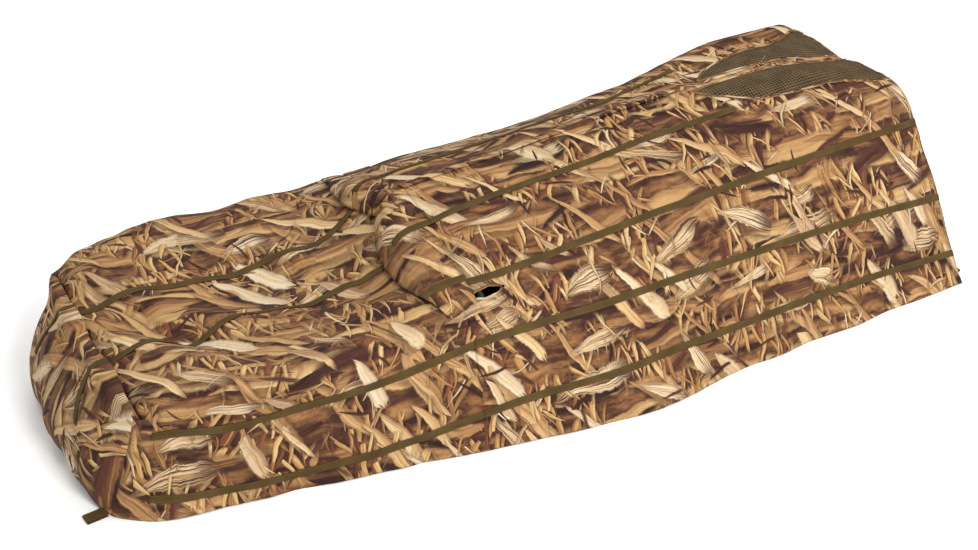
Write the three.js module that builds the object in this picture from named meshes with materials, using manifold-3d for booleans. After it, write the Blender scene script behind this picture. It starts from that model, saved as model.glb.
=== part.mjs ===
// Layout field blind: a low, coffin-shaped fabric shell over a folding tube frame.
// Millimetres, +X from the foot end to the head end, +Z up, -Y the hunter's left side.
import * as THREE from 'three';
import { mergeVertices } from 'three/addons/utils/BufferGeometryUtils.js';
import Module from 'manifold-3d';

const wasm = await Module();
wasm.setup();

// ---------- driving dimensions ----------
const HEM_FOOT_X = -1065;        // hem of the foot end on the ground
const FOOT_TOP_X = -985;         // top edge of the foot end, which leans in
const HEAD_TOP_X = 1003;         // top edge of the head end, which leans in
const HEAD_LEAN = 62;            // how far the head hem stands out past its top edge
const HEAD_LEAN_START_X = 755;
const HEAD_EAVE_Z = 335;
const FOOT_LEAN_START_X = -850;
const FOOT_EAVE_Z = 240;
const FABRIC = 2.5;              // coated cloth with its lining
const GAP = 0.4;                 // between pieces that touch
const SEAM_GAP = 2;              // between the edges of two fabric panels
const SPLIT_X = -302;            // where the foot bag laps the side walls
const DOOR_FOOT_X = -262;
const DOOR_HEAD_X = 1000;
const GUSSET_BELOW = 30;         // gusset width under and over the door hinge line
const GUSSET_ABOVE = 36;
const STRAP_WIDTH = 15;
const STRAP_THICKNESS = 1.6;

const BASE_TUBE = 11;            // radii of the frame tubes
const HOOP_TUBE = 9.5;
const RAIL_TUBE = 8;
const DOOR_TUBE = 7;
const BASE_Z = 14;

const RAIL_FOOT = new THREE.Vector3(-270, 323, 266);   // door hinge axis, right side
const RAIL_HEAD = new THREE.Vector3(985, 289, 326);
const FOLD_AXIS = { x: -370, z: 258 };
const FOOT_HOOP_AXIS = { x: -955, z: 32 };
const BACKREST_AXIS = { x: 330, z: 36 };
const BACKREST_TILT = THREE.MathUtils.degToRad(17);

// Half sections of the fabric shell, from the hem up to the centre line:
// [x, [y, z] at the hem, lower strap, upper strap, shoulder, centre strap, centre line].
const TORSO_SECTIONS = [
  [-302, [459, 0], [431, 74], [394, 226], [296, 305], [136, 364], [0, 396]],
  [-200, [475, 0], [440, 88], [396, 236], [285, 320], [133, 382], [0, 410]],
  [39, [513, 0], [460, 106], [392, 242], [262, 344], [126, 400], [0, 431]],
  [387, [482, 0], [440, 106], [378, 242], [255, 373], [130, 440], [0, 470]],
  [755, [465, 0], [426, 102], [373, 242], [261, 402], [148, 470], [0, 489]],
  [1003, [450, 0], [416, 87], [363, 227], [261, 407], [148, 472], [0, 456]],
];
const FOOT_SECTIONS = [
  [-985, [298, 0], [311, 61], [310, 190], [318, 240], [113, 255], [0, 243]],
  [-900, [345, 0], [337, 40], [334, 181], [336, 268], [114, 254], [0, 234]],
  [-678, [387, 0], [376, 32], [358, 176], [350, 276], [98, 246], [0, 232]],
  [-455, [426, 0], [410, 50], [380, 197], [347, 273], [101, 256], [0, 254]],
  [-302, [459, 0], [431, 74], [394, 226], [320, 290], [126, 324], [0, 336]],
];

const material = (color, roughness, metalness = 0) =>
  new THREE.MeshStandardMaterial({ color, roughness, metalness });
const CAMO = material(0xa58a5a, 0.9);
const CLOTH = material(0x5d5138, 0.9);
const WEBBING = material(0x57492f, 0.85);
const NETTING = material(0x4a4030, 0.8);
const TUBE_PAINT = material(0x2e2f28, 0.55, 0.4);
const STEEL = material(0x9a9a94, 0.35, 0.9);
const PAD = material(0x4c4a33, 0.9);

const SIDES = [[-1, 'left'], [1, 'right']];

const group = new THREE.Group();

function addPart(name, geometry, partMaterial) {
  const mesh = new THREE.Mesh(geometry, partMaterial);
  mesh.name = name;
  group.add(mesh);
}

// ---------- solids and booleans ----------
const MERGE_DISTANCE = 1e-4;
function positionsOnly(geometry) {
  const bare = geometry.clone();
  bare.deleteAttribute('normal');
  bare.deleteAttribute('uv');
  return mergeVertices(bare, MERGE_DISTANCE);
}

function solid(geometry) {
  const bare = positionsOnly(geometry);
  const vertProperties = new Float32Array(bare.attributes.position.array);
  const triVerts = new Uint32Array(bare.index.array);
  return new wasm.Manifold(new wasm.Mesh({ numProp: 3, vertProperties, triVerts }));
}

function fromSolid(manifold) {
  const mesh = manifold.getMesh();
  const geometry = new THREE.BufferGeometry();
  geometry.setAttribute('position', new THREE.BufferAttribute(new Float32Array(mesh.vertProperties), 3));
  geometry.setIndex(new THREE.BufferAttribute(new Uint32Array(mesh.triVerts), 1));
  geometry.computeVertexNormals();
  return geometry;
}

function cut(geometry, ...cutters) {
  let result = solid(geometry);
  for (const cutter of cutters) result = result.subtract(solid(cutter));
  return fromSolid(result);
}

function join(...geometries) {
  let result = solid(geometries[0]);
  for (const other of geometries.slice(1)) result = result.add(solid(other));
  return fromSolid(result);
}

// ---------- simple shapes ----------
function roundPolygon(radius, sides) {
  const points = [];
  for (let i = 0; i < sides; i += 1) {
    const angle = (2 * Math.PI * (i + 0.5)) / sides;
    points.push(new THREE.Vector2(radius * Math.cos(angle), radius * Math.sin(angle)));
  }
  return new THREE.Shape(points);
}

function tube(points, radius, steps, sides = 8) {
  const path = new THREE.CatmullRomCurve3(points, false, 'centripetal');
  return new THREE.ExtrudeGeometry(roundPolygon(radius, sides), { steps, extrudePath: path });
}

function rod(from, to, radius, sides = 12) {
  const geometry = new THREE.CylinderGeometry(radius, radius, from.distanceTo(to), sides);
  const direction = to.clone().sub(from).normalize();
  const turn = new THREE.Quaternion().setFromUnitVectors(new THREE.Vector3(0, 1, 0), direction);
  const middle = from.clone().add(to).multiplyScalar(0.5);
  return geometry.applyQuaternion(turn).translate(middle.x, middle.y, middle.z);
}

const crossRod = (x, z, y0, y1, radius, sides = 10) =>
  rod(new THREE.Vector3(x, y0, z), new THREE.Vector3(x, y1, z), radius, sides);

function block([x0, x1], [y0, y1], [z0, z1]) {
  const geometry = new THREE.BoxGeometry(x1 - x0, y1 - y0, z1 - z0);
  return geometry.translate((x0 + x1) / 2, (y0 + y1) / 2, (z0 + z1) / 2);
}

const mirrored = (points) => points.map((p) => new THREE.Vector3(p.x, -p.y, p.z));
const bothSides = (points) => [...mirrored(points), ...points.slice(0, -1).reverse()];
const vectors = (rows) => rows.map(([x, y, z]) => new THREE.Vector3(x, y, z));

function onSide(geometry, side) {
  if (side > 0) return geometry;
  const flipped = positionsOnly(geometry);
  flipped.scale(1, -1, 1);
  const index = flipped.index.array;
  for (let i = 0; i < index.length; i += 3) [index[i], index[i + 1]] = [index[i + 1], index[i]];
  return flipped;
}

// ---------- the fabric shell ----------
function smoothBetween(table, x, read) {
  const last = table.length - 1;
  let k = 0;
  while (k < last - 1 && x > table[k + 1][0]) k += 1;
  const slope = (i) => {
    const a = Math.max(i - 1, 0);
    const b = Math.min(i + 1, last);
    return (read(table[b]) - read(table[a])) / (table[b][0] - table[a][0]);
  };
  const width = table[k + 1][0] - table[k][0];
  const t = (x - table[k][0]) / width;
  const [p0, p1] = [read(table[k]), read(table[k + 1])];
  const [m0, m1] = [slope(k) * width, slope(k + 1) * width];
  const t2 = t * t;
  const t3 = t2 * t;
  return (2 * t3 - 3 * t2 + 1) * p0 + (t3 - 2 * t2 + t) * m0 + (3 * t2 - 2 * t3) * p1 + (t3 - t2) * m1;
}

function sectionCurve(sections, x) {
  const corners = [];
  for (let k = 1; k <= 6; k += 1) {
    const y = smoothBetween(sections, x, (row) => row[k][0]);
    const z = smoothBetween(sections, x, (row) => row[k][1]);
    corners.push(new THREE.Vector2(y, z));
  }
  return new THREE.SplineCurve(corners);
}

function leanX(x, z) {
  if (x > HEAD_LEAN_START_X) {
    const share = (x - HEAD_LEAN_START_X) / (HEAD_TOP_X - HEAD_LEAN_START_X);
    return x + HEAD_LEAN * share * Math.max(0, 1 - z / HEAD_EAVE_Z);
  }
  if (x < FOOT_LEAN_START_X) {
    const share = (x - FOOT_LEAN_START_X) / (FOOT_TOP_X - FOOT_LEAN_START_X);
    return x + (HEM_FOOT_X - FOOT_TOP_X) * share * Math.max(0, 1 - z / FOOT_EAVE_Z);
  }
  return x;
}

// Girth along a section, measured from the hem; hingeGirth finds the point nearest the side rail.
const SECTION_SAMPLES = 60;
function sampledSection(sections, x) {
  const points = sectionCurve(sections, x).getPoints(SECTION_SAMPLES);
  return { points, girth: lengthsAlong(points) };
}

function lengthsAlong(points) {
  const lengths = [0];
  for (let i = 1; i < points.length; i += 1) {
    lengths.push(lengths[i - 1] + points[i].distanceTo(points[i - 1]));
  }
  return lengths;
}

function pointAtGirth({ points, girth }, distance) {
  let i = 0;
  while (i < girth.length - 2 && girth[i + 1] < distance) i += 1;
  const t = (distance - girth[i]) / (girth[i + 1] - girth[i]);
  return points[i].clone().lerp(points[i + 1], t);
}

function railAt(x) {
  const t = (x - RAIL_FOOT.x) / (RAIL_HEAD.x - RAIL_FOOT.x);
  return RAIL_FOOT.clone().lerp(RAIL_HEAD, t);
}

function nearestGirth(points, girth, target) {
  let best = { distance: Infinity, girth: 0 };
  for (let i = 1; i < points.length; i += 1) {
    const run = points[i].clone().sub(points[i - 1]);
    const t = THREE.MathUtils.clamp(target.clone().sub(points[i - 1]).dot(run) / run.lengthSq(), 0, 1);
    const distance = points[i - 1].clone().addScaledVector(run, t).distanceTo(target);
    if (distance < best.distance) best = { distance, girth: girth[i - 1] + run.length() * t };
  }
  return best.girth;
}

function hingeGirth(section, x) {
  const rail = railAt(x);
  return nearestGirth(section.points, section.girth, new THREE.Vector2(rail.y, rail.z));
}

// A panel is a grid of skin points: rows along x, columns between two girths.
function panelRows(sections, xs, columns, range) {
  return xs.map((x) => {
    const section = sampledSection(sections, x);
    const [from, to] = range(section, x);
    const row = [];
    for (let j = 0; j <= columns; j += 1) {
      const p = pointAtGirth(section, from + ((to - from) * j) / columns);
      row.push(new THREE.Vector3(leanX(x, p.y), p.x, p.y));
    }
    return row;
  });
}

function steps(from, to, count) {
  return Array.from({ length: count + 1 }, (unused, i) => from + ((to - from) * i) / count);
}

const SPINE_Z = 60;
const aboveSpine = (p) => new THREE.Vector3(0, p.y, p.z - SPINE_Z);

// A closed sheet between `lift` above the rows and `thickness` below that, never under the ground.
function sheet(rows, thickness = FABRIC, lift = 0, outwards = aboveSpine) {
  const [n, m] = [rows.length, rows[0].length];
  const at = (i, j) => rows[Math.min(Math.max(i, 0), n - 1)][Math.min(Math.max(j, 0), m - 1)];
  const layers = [[], []];
  for (let i = 0; i < n; i += 1) {
    for (let j = 0; j < m; j += 1) {
      const along = at(i + 1, j).clone().sub(at(i - 1, j));
      const across = at(i, j + 1).clone().sub(at(i, j - 1));
      const normal = along.cross(across).normalize();
      if (normal.dot(outwards(rows[i][j])) < 0) normal.negate();
      [lift, lift - thickness].forEach((height, layer) => {
        const p = rows[i][j].clone().addScaledVector(normal, height);
        p.z = Math.max(p.z, 0);
        layers[layer].push(p.x, p.y, p.z);
      });
    }
  }
  const index = [];
  const inner = n * m;
  const quad = (a, b, c, d) => index.push(a, b, c, a, c, d);
  const id = (i, j) => i * m + j;
  for (let i = 0; i < n - 1; i += 1) {
    for (let j = 0; j < m - 1; j += 1) {
      quad(id(i, j), id(i + 1, j), id(i + 1, j + 1), id(i, j + 1));
      quad(inner + id(i, j), inner + id(i, j + 1), inner + id(i + 1, j + 1), inner + id(i + 1, j));
    }
    quad(id(i, 0), inner + id(i, 0), inner + id(i + 1, 0), id(i + 1, 0));
    quad(id(i, m - 1), id(i + 1, m - 1), inner + id(i + 1, m - 1), inner + id(i, m - 1));
  }
  for (let j = 0; j < m - 1; j += 1) {
    quad(id(0, j), id(0, j + 1), inner + id(0, j + 1), inner + id(0, j));
    quad(id(n - 1, j), inner + id(n - 1, j), inner + id(n - 1, j + 1), id(n - 1, j + 1));
  }
  const geometry = new THREE.BufferGeometry();
  const positions = new Float32Array([...layers[0], ...layers[1]]);
  geometry.setAttribute('position', new THREE.BufferAttribute(positions, 3));
  geometry.setIndex(index);
  return facingOut(geometry);
}

function facingOut(geometry) {
  const bare = mergeVertices(geometry, MERGE_DISTANCE);
  const position = bare.attributes.position;
  const index = bare.index.array;
  const [a, b, c] = [new THREE.Vector3(), new THREE.Vector3(), new THREE.Vector3()];
  let volume = 0;
  for (let i = 0; i < index.length; i += 3) {
    a.fromBufferAttribute(position, index[i]);
    b.fromBufferAttribute(position, index[i + 1]);
    c.fromBufferAttribute(position, index[i + 2]);
    volume += a.dot(b.cross(c));
  }
  if (volume < 0) {
    for (let i = 0; i < index.length; i += 3) [index[i], index[i + 1]] = [index[i + 1], index[i]];
  }
  return bare;
}

// ---------- torso covers ----------
const DOOR_XS = steps(DOOR_FOOT_X, DOOR_HEAD_X, 14);
const WALL_FOOT_X = SPLIT_X + SEAM_GAP;
const WALL_XS = [WALL_FOOT_X, ...DOOR_XS];
const wallRows = panelRows(TORSO_SECTIONS, WALL_XS, 3, (s, x) => [0, hingeGirth(s, x) - GUSSET_BELOW]);
const wall = sheet(wallRows);

const HEAD_PANEL_ROWS = [[0, 449], [87, 415], [227, 362], [335, 300], [378, 258], [408, 185]];
const HEAD_PANEL_CLEARANCE = 1;
const headPanelX = (z) => leanX(HEAD_TOP_X, z) + HEAD_PANEL_CLEARANCE;
const headPanelRows = HEAD_PANEL_ROWS.map(([z, halfWidth]) =>
  steps(-halfWidth, halfWidth, 8).map((y) => new THREE.Vector3(headPanelX(z), y, z)));
const headPanel = sheet(headPanelRows, FABRIC, 0, () => new THREE.Vector3(1, 0, 0));

const FLOOR_INSET = 6;
const FLOOR_THICKNESS = 2.4;
const FLOOR_SPLIT_INSET = 40;    // the foot floor stops short of the fold
const FLOOR_FOOT_INSET = 8;
function floorCloth(sections, xs) {
  const rim = xs.map((x) => {
    const hem = smoothBetween(sections, x, (row) => row[1][0]);
    return new THREE.Vector2(leanX(x, 0), hem - FLOOR_INSET);
  });
  const outline = [...rim, ...rim.map((p) => new THREE.Vector2(p.x, -p.y)).reverse()];
  return new THREE.ExtrudeGeometry(new THREE.Shape(outline), { depth: FLOOR_THICKNESS, bevelEnabled: false });
}

for (const [side, name] of SIDES) {
  addPart(`${name}_wall`, onSide(wall, side), CAMO);
}
addPart('head_end_panel', headPanel, CAMO);
addPart('torso_floor', floorCloth(TORSO_SECTIONS, steps(WALL_FOOT_X, HEAD_TOP_X - FLOOR_INSET, 10)), CLOTH);

// ---------- doors ----------
const CENTRE_GAP = 2;
const endGirth = (section) => section.girth[section.girth.length - 1];
const doorRange = (s, x) => [hingeGirth(s, x) + GUSSET_ABOVE, endGirth(s) - CENTRE_GAP];
const doorRows = panelRows(TORSO_SECTIONS, DOOR_XS, 5, doorRange);
const gussetRange = (s, x) => [
  hingeGirth(s, x) - GUSSET_BELOW + SEAM_GAP,
  hingeGirth(s, x) + GUSSET_ABOVE - SEAM_GAP,
];
const gussetRows = panelRows(TORSO_SECTIONS, DOOR_XS, 2, gussetRange);

// The window is a lens between the centre line and an arc, cut through the door from above.
const WINDOW_FOOT_X = 500;
const WINDOW_HEAD_X = 985;
const WINDOW_CENTRE_Y = 14;
const WINDOW_DEPTH_Y = 138;
const WINDOW_HEAD_Y = 172;
const WINDOW_BOW_END = 0.5;      // share of the length over which the arc reaches its depth
const WINDOW_BOW_POWER = 0.75;
const WINDOW_FLARE_START = 0.6;  // from here on the arc widens towards the head end
const WINDOW_CUT = { from: 250, depth: 400 };
const WINDOW_TIP_CLEARANCE = 3;  // the narrow tip needs a longer clearance than the arc
function windowPrism(grow) {
  const tipX = WINDOW_FOOT_X - WINDOW_TIP_CLEARANCE * grow;
  const points = [new THREE.Vector2(tipX, WINDOW_CENTRE_Y - grow)];
  for (const t of steps(0, 1, 12).slice(1)) {
    const x = THREE.MathUtils.lerp(tipX, WINDOW_HEAD_X + grow, t);
    const turn = Math.min(t / WINDOW_BOW_END, 1) ** WINDOW_BOW_POWER;
    const bow = WINDOW_DEPTH_Y * Math.sin((Math.PI / 2) * turn);
    const flare = THREE.MathUtils.smoothstep(t, WINDOW_FLARE_START, 1);
    points.push(new THREE.Vector2(x, THREE.MathUtils.lerp(bow, WINDOW_HEAD_Y, flare) + grow));
  }
  points.push(new THREE.Vector2(WINDOW_HEAD_X + grow, WINDOW_CENTRE_Y - grow));
  const settings = { depth: WINDOW_CUT.depth, bevelEnabled: false };
  return new THREE.ExtrudeGeometry(new THREE.Shape(points), settings).translate(0, 0, WINDOW_CUT.from);
}

const doorSheet = sheet(doorRows);
const doorCover = cut(doorSheet, windowPrism(GAP));
const NET = 1.2;
const windowNet = fromSolid(solid(sheet(doorRows, NET)).intersect(solid(windowPrism(-GAP))));

// The apron hangs past the foot end of each door, over the mouth of the foot bag. The left door
// closes over the right one and carries the longer apron. Both still lap the bag at their sides.
const APRON_LENGTH = { left: 118, right: 78 };
const APRON_SIDE = 8;
const APRON_LIFT = 9;
const APRON_DROOP = 0.16;        // share of its reach that its free edge hangs down
const APRON_ARC = { from: 0.14, span: 0.72, power: 0.6 };
const doorFootSection = sampledSection(TORSO_SECTIONS, DOOR_FOOT_X);
function apronSheet(length) {
  const from = hingeGirth(doorFootSection, DOOR_FOOT_X) - APRON_SIDE;
  const to = endGirth(doorFootSection) - CENTRE_GAP;
  return sheet(steps(0, 1, 5).map((t) => steps(0, 1, 7).map((u) => {
    const p = pointAtGirth(doorFootSection, from + (to - from) * u);
    const arc = Math.sin(Math.PI * (APRON_ARC.from + APRON_ARC.span * u));
    const reach = length * arc ** APRON_ARC.power;
    const drop = APRON_DROOP * reach * t * t;
    const lift = APRON_LIFT * t * (1 - u);
    return new THREE.Vector3(DOOR_FOOT_X - 1 - reach * t, p.x + lift, p.y - drop + lift);
  })));
}

// A soft flap on the left door lies over the edge of the right one.
const FLAP_WIDTH = 20;
const FLAP_SEAM = 3;
const FLAP_THICKNESS = 1.5;
const FLAP_LIFT = 2 + GAP;
const FLAP_END_X = 470;          // short of the windows
const flapXs = DOOR_XS.filter((x) => x < FLAP_END_X);
const flapRows = flapXs.map((x) => {
  const section = sampledSection(TORSO_SECTIONS, x);
  return [-FLAP_SEAM, 0, FLAP_WIDTH].map((y) => {
    const p = pointAtGirth(section, endGirth(section) - Math.abs(y));
    return new THREE.Vector3(x, Math.sign(y) * p.x, p.y);
  });
});
const centreFlap = sheet(flapRows, FLAP_THICKNESS, FLAP_LIFT);

for (const [side, name] of SIDES) {
  addPart(`${name}_door_cover`, onSide(doorCover, side), CAMO);
  addPart(`${name}_window`, onSide(windowNet, side), NETTING);
  addPart(`${name}_door_apron`, onSide(apronSheet(APRON_LENGTH[name]), side), CAMO);
  addPart(`${name}_hinge_gusset`, onSide(sheet(gussetRows), side), CAMO);
}
addPart('centre_flap', centreFlap, CAMO);

// ---------- foot bag ----------
const BAG_XS = steps(FOOT_TOP_X, SPLIT_X - SEAM_GAP, 11);
const halfBag = panelRows(FOOT_SECTIONS, BAG_XS, 7, (s) => [0, endGirth(s)]);
const bagRows = halfBag.map((row) => [...row.slice(0, -1).map((p) => new THREE.Vector3(p.x, -p.y, p.z)),
  ...row.slice().reverse()]);
const footSection = sampledSection(FOOT_SECTIONS, FOOT_TOP_X);
const FOOT_END_GIRTH = 244;      // side girth from the hem up to the top edge
const FOOT_END_BULGE = 34;
const FOOT_END_CROWN = 12;
const footEndRows = steps(0, 1, 6).map((v) => {
  const rim = pointAtGirth(footSection, FOOT_END_GIRTH * v);
  return steps(-1, 1, 8).map((u) => {
    const round = Math.cos((Math.PI * u) / 2);
    const bulge = FOOT_END_BULGE * Math.sin(Math.PI * v) * Math.sqrt(Math.max(round, 0));
    return new THREE.Vector3(leanX(FOOT_TOP_X, rim.y) - bulge, rim.x * u, rim.y + FOOT_END_CROWN * v * round);
  });
});
const FOOT_END_LIFT = 0.5;
const footEnd = sheet(footEndRows, FABRIC, FOOT_END_LIFT, () => new THREE.Vector3(-1, 0, 0));
addPart('foot_bag', join(sheet(bagRows), footEnd), CAMO);
const footFloorXs = steps(FOOT_TOP_X + FLOOR_FOOT_INSET, SPLIT_X - FLOOR_SPLIT_INSET, 8);
addPart('foot_floor', floorCloth(FOOT_SECTIONS, footFloorXs), CLOTH);

// ---------- webbing ----------
// A strap lies along a panel's own rows, beside one corner of the sections.
const STRAP_LIFT = 1.2;
const BAG_STRAP_LIFT = 4;
const [LOWER, UPPER, SHOULDER, CENTRE] = [2, 3, 4, 5];
// [x, shift along the girth away from the corner], positive towards the centre line
const NO_SHIFT = [[-1000, 0], [1003, 0]];
const WALL_SHIFT = [[-302, 0], [0, -12], [1003, -12]];
const OUTER_SHIFT = [[-262, 0], [-200, -13], [-60, -27], [100, -31], [755, -31], [1003, -24]];
const INNER_SHIFT = [[-262, 12], [1003, 16]];

function between(table, x) {
  let k = 0;
  while (k < table.length - 2 && x > table[k + 1][0]) k += 1;
  const share = (x - table[k][0]) / (table[k + 1][0] - table[k][0]);
  return THREE.MathUtils.lerp(table[k][1], table[k + 1][1], THREE.MathUtils.clamp(share, 0, 1));
}

function strap(sections, rows, xs, corner, shift, lift = STRAP_LIFT) {
  const strapRows = rows.map((row, i) => {
    const y = smoothBetween(sections, xs[i], (section) => section[corner][0]);
    const z = smoothBetween(sections, xs[i], (section) => section[corner][1]);
    const lengths = lengthsAlong(row);
    const corner3 = new THREE.Vector3(leanX(xs[i], z), y, z);
    const middle = nearestGirth(row, lengths, corner3) + between(shift, xs[i]);
    return [-STRAP_WIDTH / 2, STRAP_WIDTH / 2].map((offset) =>
      pointAtGirth({ points: row, girth: lengths }, middle + offset));
  });
  return sheet(strapRows, STRAP_THICKNESS, STRAP_THICKNESS + lift);
}

const INNER_STRAP_END_X = 570;   // runs on a little past the tip of the window
const innerStrapXs = DOOR_XS.filter((x) => x < INNER_STRAP_END_X);
const innerDoorRows = doorRows.slice(0, innerStrapXs.length);
const STRAPS = {
  wall_lower_strap: strap(TORSO_SECTIONS, wallRows, WALL_XS, LOWER, WALL_SHIFT),
  wall_upper_strap: strap(TORSO_SECTIONS, wallRows, WALL_XS, UPPER, WALL_SHIFT),
  door_outer_strap: strap(TORSO_SECTIONS, doorRows, DOOR_XS, SHOULDER, OUTER_SHIFT),
  door_inner_strap: strap(TORSO_SECTIONS, innerDoorRows, innerStrapXs, CENTRE, INNER_SHIFT),
  foot_bag_strap: strap(FOOT_SECTIONS, halfBag, BAG_XS, CENTRE, NO_SHIFT, BAG_STRAP_LIFT),
};
for (const [side, name] of SIDES) {
  for (const [strapName, geometry] of Object.entries(STRAPS)) {
    addPart(`${name}_${strapName}`, onSide(geometry, side), WEBBING);
  }
}

// A stake loop is a folded webbing tab that sticks out of a corner of the hem.
const LOOP_LENGTH = 38;
const LOOP_WIDTH = 25;
const LOOP_RADIUS = 4;
const LOOP_CLOTH = 2;
const LOOP_EYE_START = 3;
const LOOP_SPLAY = 0.12;
function stakeLoop(x, y, angle) {
  const turnX = LOOP_LENGTH - LOOP_RADIUS;
  const eyeRadius = LOOP_RADIUS - LOOP_CLOTH;
  const profile = new THREE.Shape();
  profile.moveTo(0, 0);
  profile.lineTo(turnX, 0);
  profile.absarc(turnX, LOOP_RADIUS, LOOP_RADIUS, -Math.PI / 2, Math.PI / 2, false);
  profile.lineTo(0, 2 * LOOP_RADIUS);
  const eye = new THREE.Path();
  eye.moveTo(LOOP_EYE_START, LOOP_CLOTH);
  eye.lineTo(LOOP_EYE_START, 2 * LOOP_RADIUS - LOOP_CLOTH);
  eye.absarc(turnX, LOOP_RADIUS, eyeRadius, Math.PI / 2, -Math.PI / 2, true);
  profile.holes.push(eye);
  const settings = { depth: LOOP_WIDTH, bevelEnabled: false, curveSegments: 5 };
  const geometry = new THREE.ExtrudeGeometry(profile, settings);
  return geometry.rotateX(Math.PI / 2).translate(0, LOOP_WIDTH / 2, 0).rotateZ(angle).translate(x, y, 0);
}
const FOOT_LOOP = { x: HEM_FOOT_X - 3, y: 262 };
const RIGHT_FOOT_LOOP = { x: -1030, y: 325, angle: (Math.PI * 4) / 9 };
const HEAD_LOOP = { x: HEAD_TOP_X + HEAD_LEAN + 4, y: 395 };
const footLoops = {
  left: stakeLoop(FOOT_LOOP.x, -FOOT_LOOP.y, LOOP_SPLAY - Math.PI),
  right: stakeLoop(RIGHT_FOOT_LOOP.x, RIGHT_FOOT_LOOP.y, RIGHT_FOOT_LOOP.angle),
};
const headLoop = stakeLoop(HEAD_LOOP.x, HEAD_LOOP.y, LOOP_SPLAY);
for (const [side, name] of SIDES) {
  addPart(`${name}_foot_stake_loop`, footLoops[name], WEBBING);
  addPart(`${name}_head_stake_loop`, onSide(headLoop, side), WEBBING);
}

// ---------- tube paths ----------
const torsoBasePath = bothSides(vectors([
  [1032, 0, BASE_Z], [1032, 200, BASE_Z], [1030, 350, BASE_Z], [1020, 392, BASE_Z], [985, 414, BASE_Z],
  [755, 428, BASE_Z], [387, 445, BASE_Z], [200, 462, BASE_Z], [39, 474, BASE_Z], [-90, 452, BASE_Z],
  [-230, 405, BASE_Z], [-318, 372, BASE_Z],
]).reverse());
const footBasePath = bothSides(vectors([
  [-1042, 0, BASE_Z], [-1042, 150, BASE_Z], [-1040, 220, BASE_Z], [-1025, 246, BASE_Z], [-990, 266, BASE_Z],
  [-955, 280, BASE_Z], [-823, 318, BASE_Z], [-678, 345, BASE_Z], [-500, 368, BASE_Z], [-384, 372, BASE_Z],
]).reverse());
const MID_HOOP_X = -290;
const midHoopPath = bothSides(vectors([
  [MID_HOOP_X, 340, 5], [MID_HOOP_X, 340, 100], [MID_HOOP_X, 340, 215], [-288, 333, 242], [-286, 318, 262],
  [-285, 262, 292], [-285, 140, 330], [-285, 0, 345],
]));
const HEAD_HOOP_X = 992;
const headHoopPath = bothSides(vectors([
  [HEAD_HOOP_X, 392, 5], [HEAD_HOOP_X, 390, 60], [990, 368, 120], [986, 330, 220], [985, 308, 290],
  [985, 289, 326], [985, 245, 362], [985, 120, 392], [985, 0, 394],
]));
const KNEE_HOOP_X = -410;
const kneeHoopPath = bothSides(vectors([
  [KNEE_HOOP_X, 342, 5], [KNEE_HOOP_X, 342, 100], [KNEE_HOOP_X, 342, 208], [KNEE_HOOP_X, 336, 226],
  [KNEE_HOOP_X, 318, 236], [KNEE_HOOP_X, 285, 238], [KNEE_HOOP_X, 0, 238],
]));
const HOOP_LEG_Y = 250;
const footHoopPath = bothSides(vectors([
  [-955, HOOP_LEG_Y, 22], [-956, HOOP_LEG_Y, 80], [-961, HOOP_LEG_Y, 165], [-964, 238, 202],
  [-965, 205, 216], [-966, 0, 224],
]));
const BACK_TUBE = 8;
const REST_BAR_X = 780;
const restBarZ = BACKREST_AXIS.z + (REST_BAR_X - BACKREST_AXIS.x) * Math.tan(BACKREST_TILT)
  - (2 * BACK_TUBE + 1) / Math.cos(BACKREST_TILT);
const restBarPath = bothSides(vectors([
  [REST_BAR_X, 404, 6], [REST_BAR_X, 402, 50], [REST_BAR_X, 352, 118], [REST_BAR_X, 300, restBarZ - 6],
  [REST_BAR_X, 255, restBarZ], [REST_BAR_X, 0, restBarZ],
]));

const midHoop = (extra = 0) => tube(midHoopPath, HOOP_TUBE + extra, 32);
const headHoop = (extra = 0) => tube(headHoopPath, HOOP_TUBE + extra, 32);
const kneeHoop = (extra = 0) => tube(kneeHoopPath, HOOP_TUBE + extra, 32);
const restBar = (extra = 0) => tube(restBarPath, BACK_TUBE + extra, 26);
const FOOT_HOOP_TUBE = 8;
const footHoop = tube(footHoopPath, FOOT_HOOP_TUBE, 30);

// ---------- base frames, with the sockets and lugs welded to them ----------
const SOCKET_GAP = 0.5;
const BRACKET_FOOT = 3;
const BRACKET_TOP = 32;
const PIN_RADIUS = 3.5;
const PIN_GAP = 0.3;
const BRACKET_HALF = 15;
const BRACKET_YS = { mid: [326, 396], head: [376, 420], rest: [390, 430], knee: [328, 380] };
const BACKREST_LUG = [[316, 344], [215, 221], [BRACKET_FOOT, 50]];
const FOOT_HOOP_LUG = [[-969, -941], [259, 278], [BRACKET_FOOT, 45]];
const CROSS_TUBE = { radius: 8, half: 450, drop: 1 };
const hoopBracket = (x, yRange) =>
  block([x - BRACKET_HALF, x + BRACKET_HALF], yRange, [BRACKET_FOOT, BRACKET_TOP]);
const withMirror = (geometry) => [geometry, onSide(geometry, -1)];
const pinHole = (axis, half) => crossRod(axis.x, axis.z, -half, half, PIN_RADIUS + PIN_GAP);
const backPinHole = pinHole(BACKREST_AXIS, 240);
const footHoopPinHole = pinHole(FOOT_HOOP_AXIS, 290);

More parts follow.
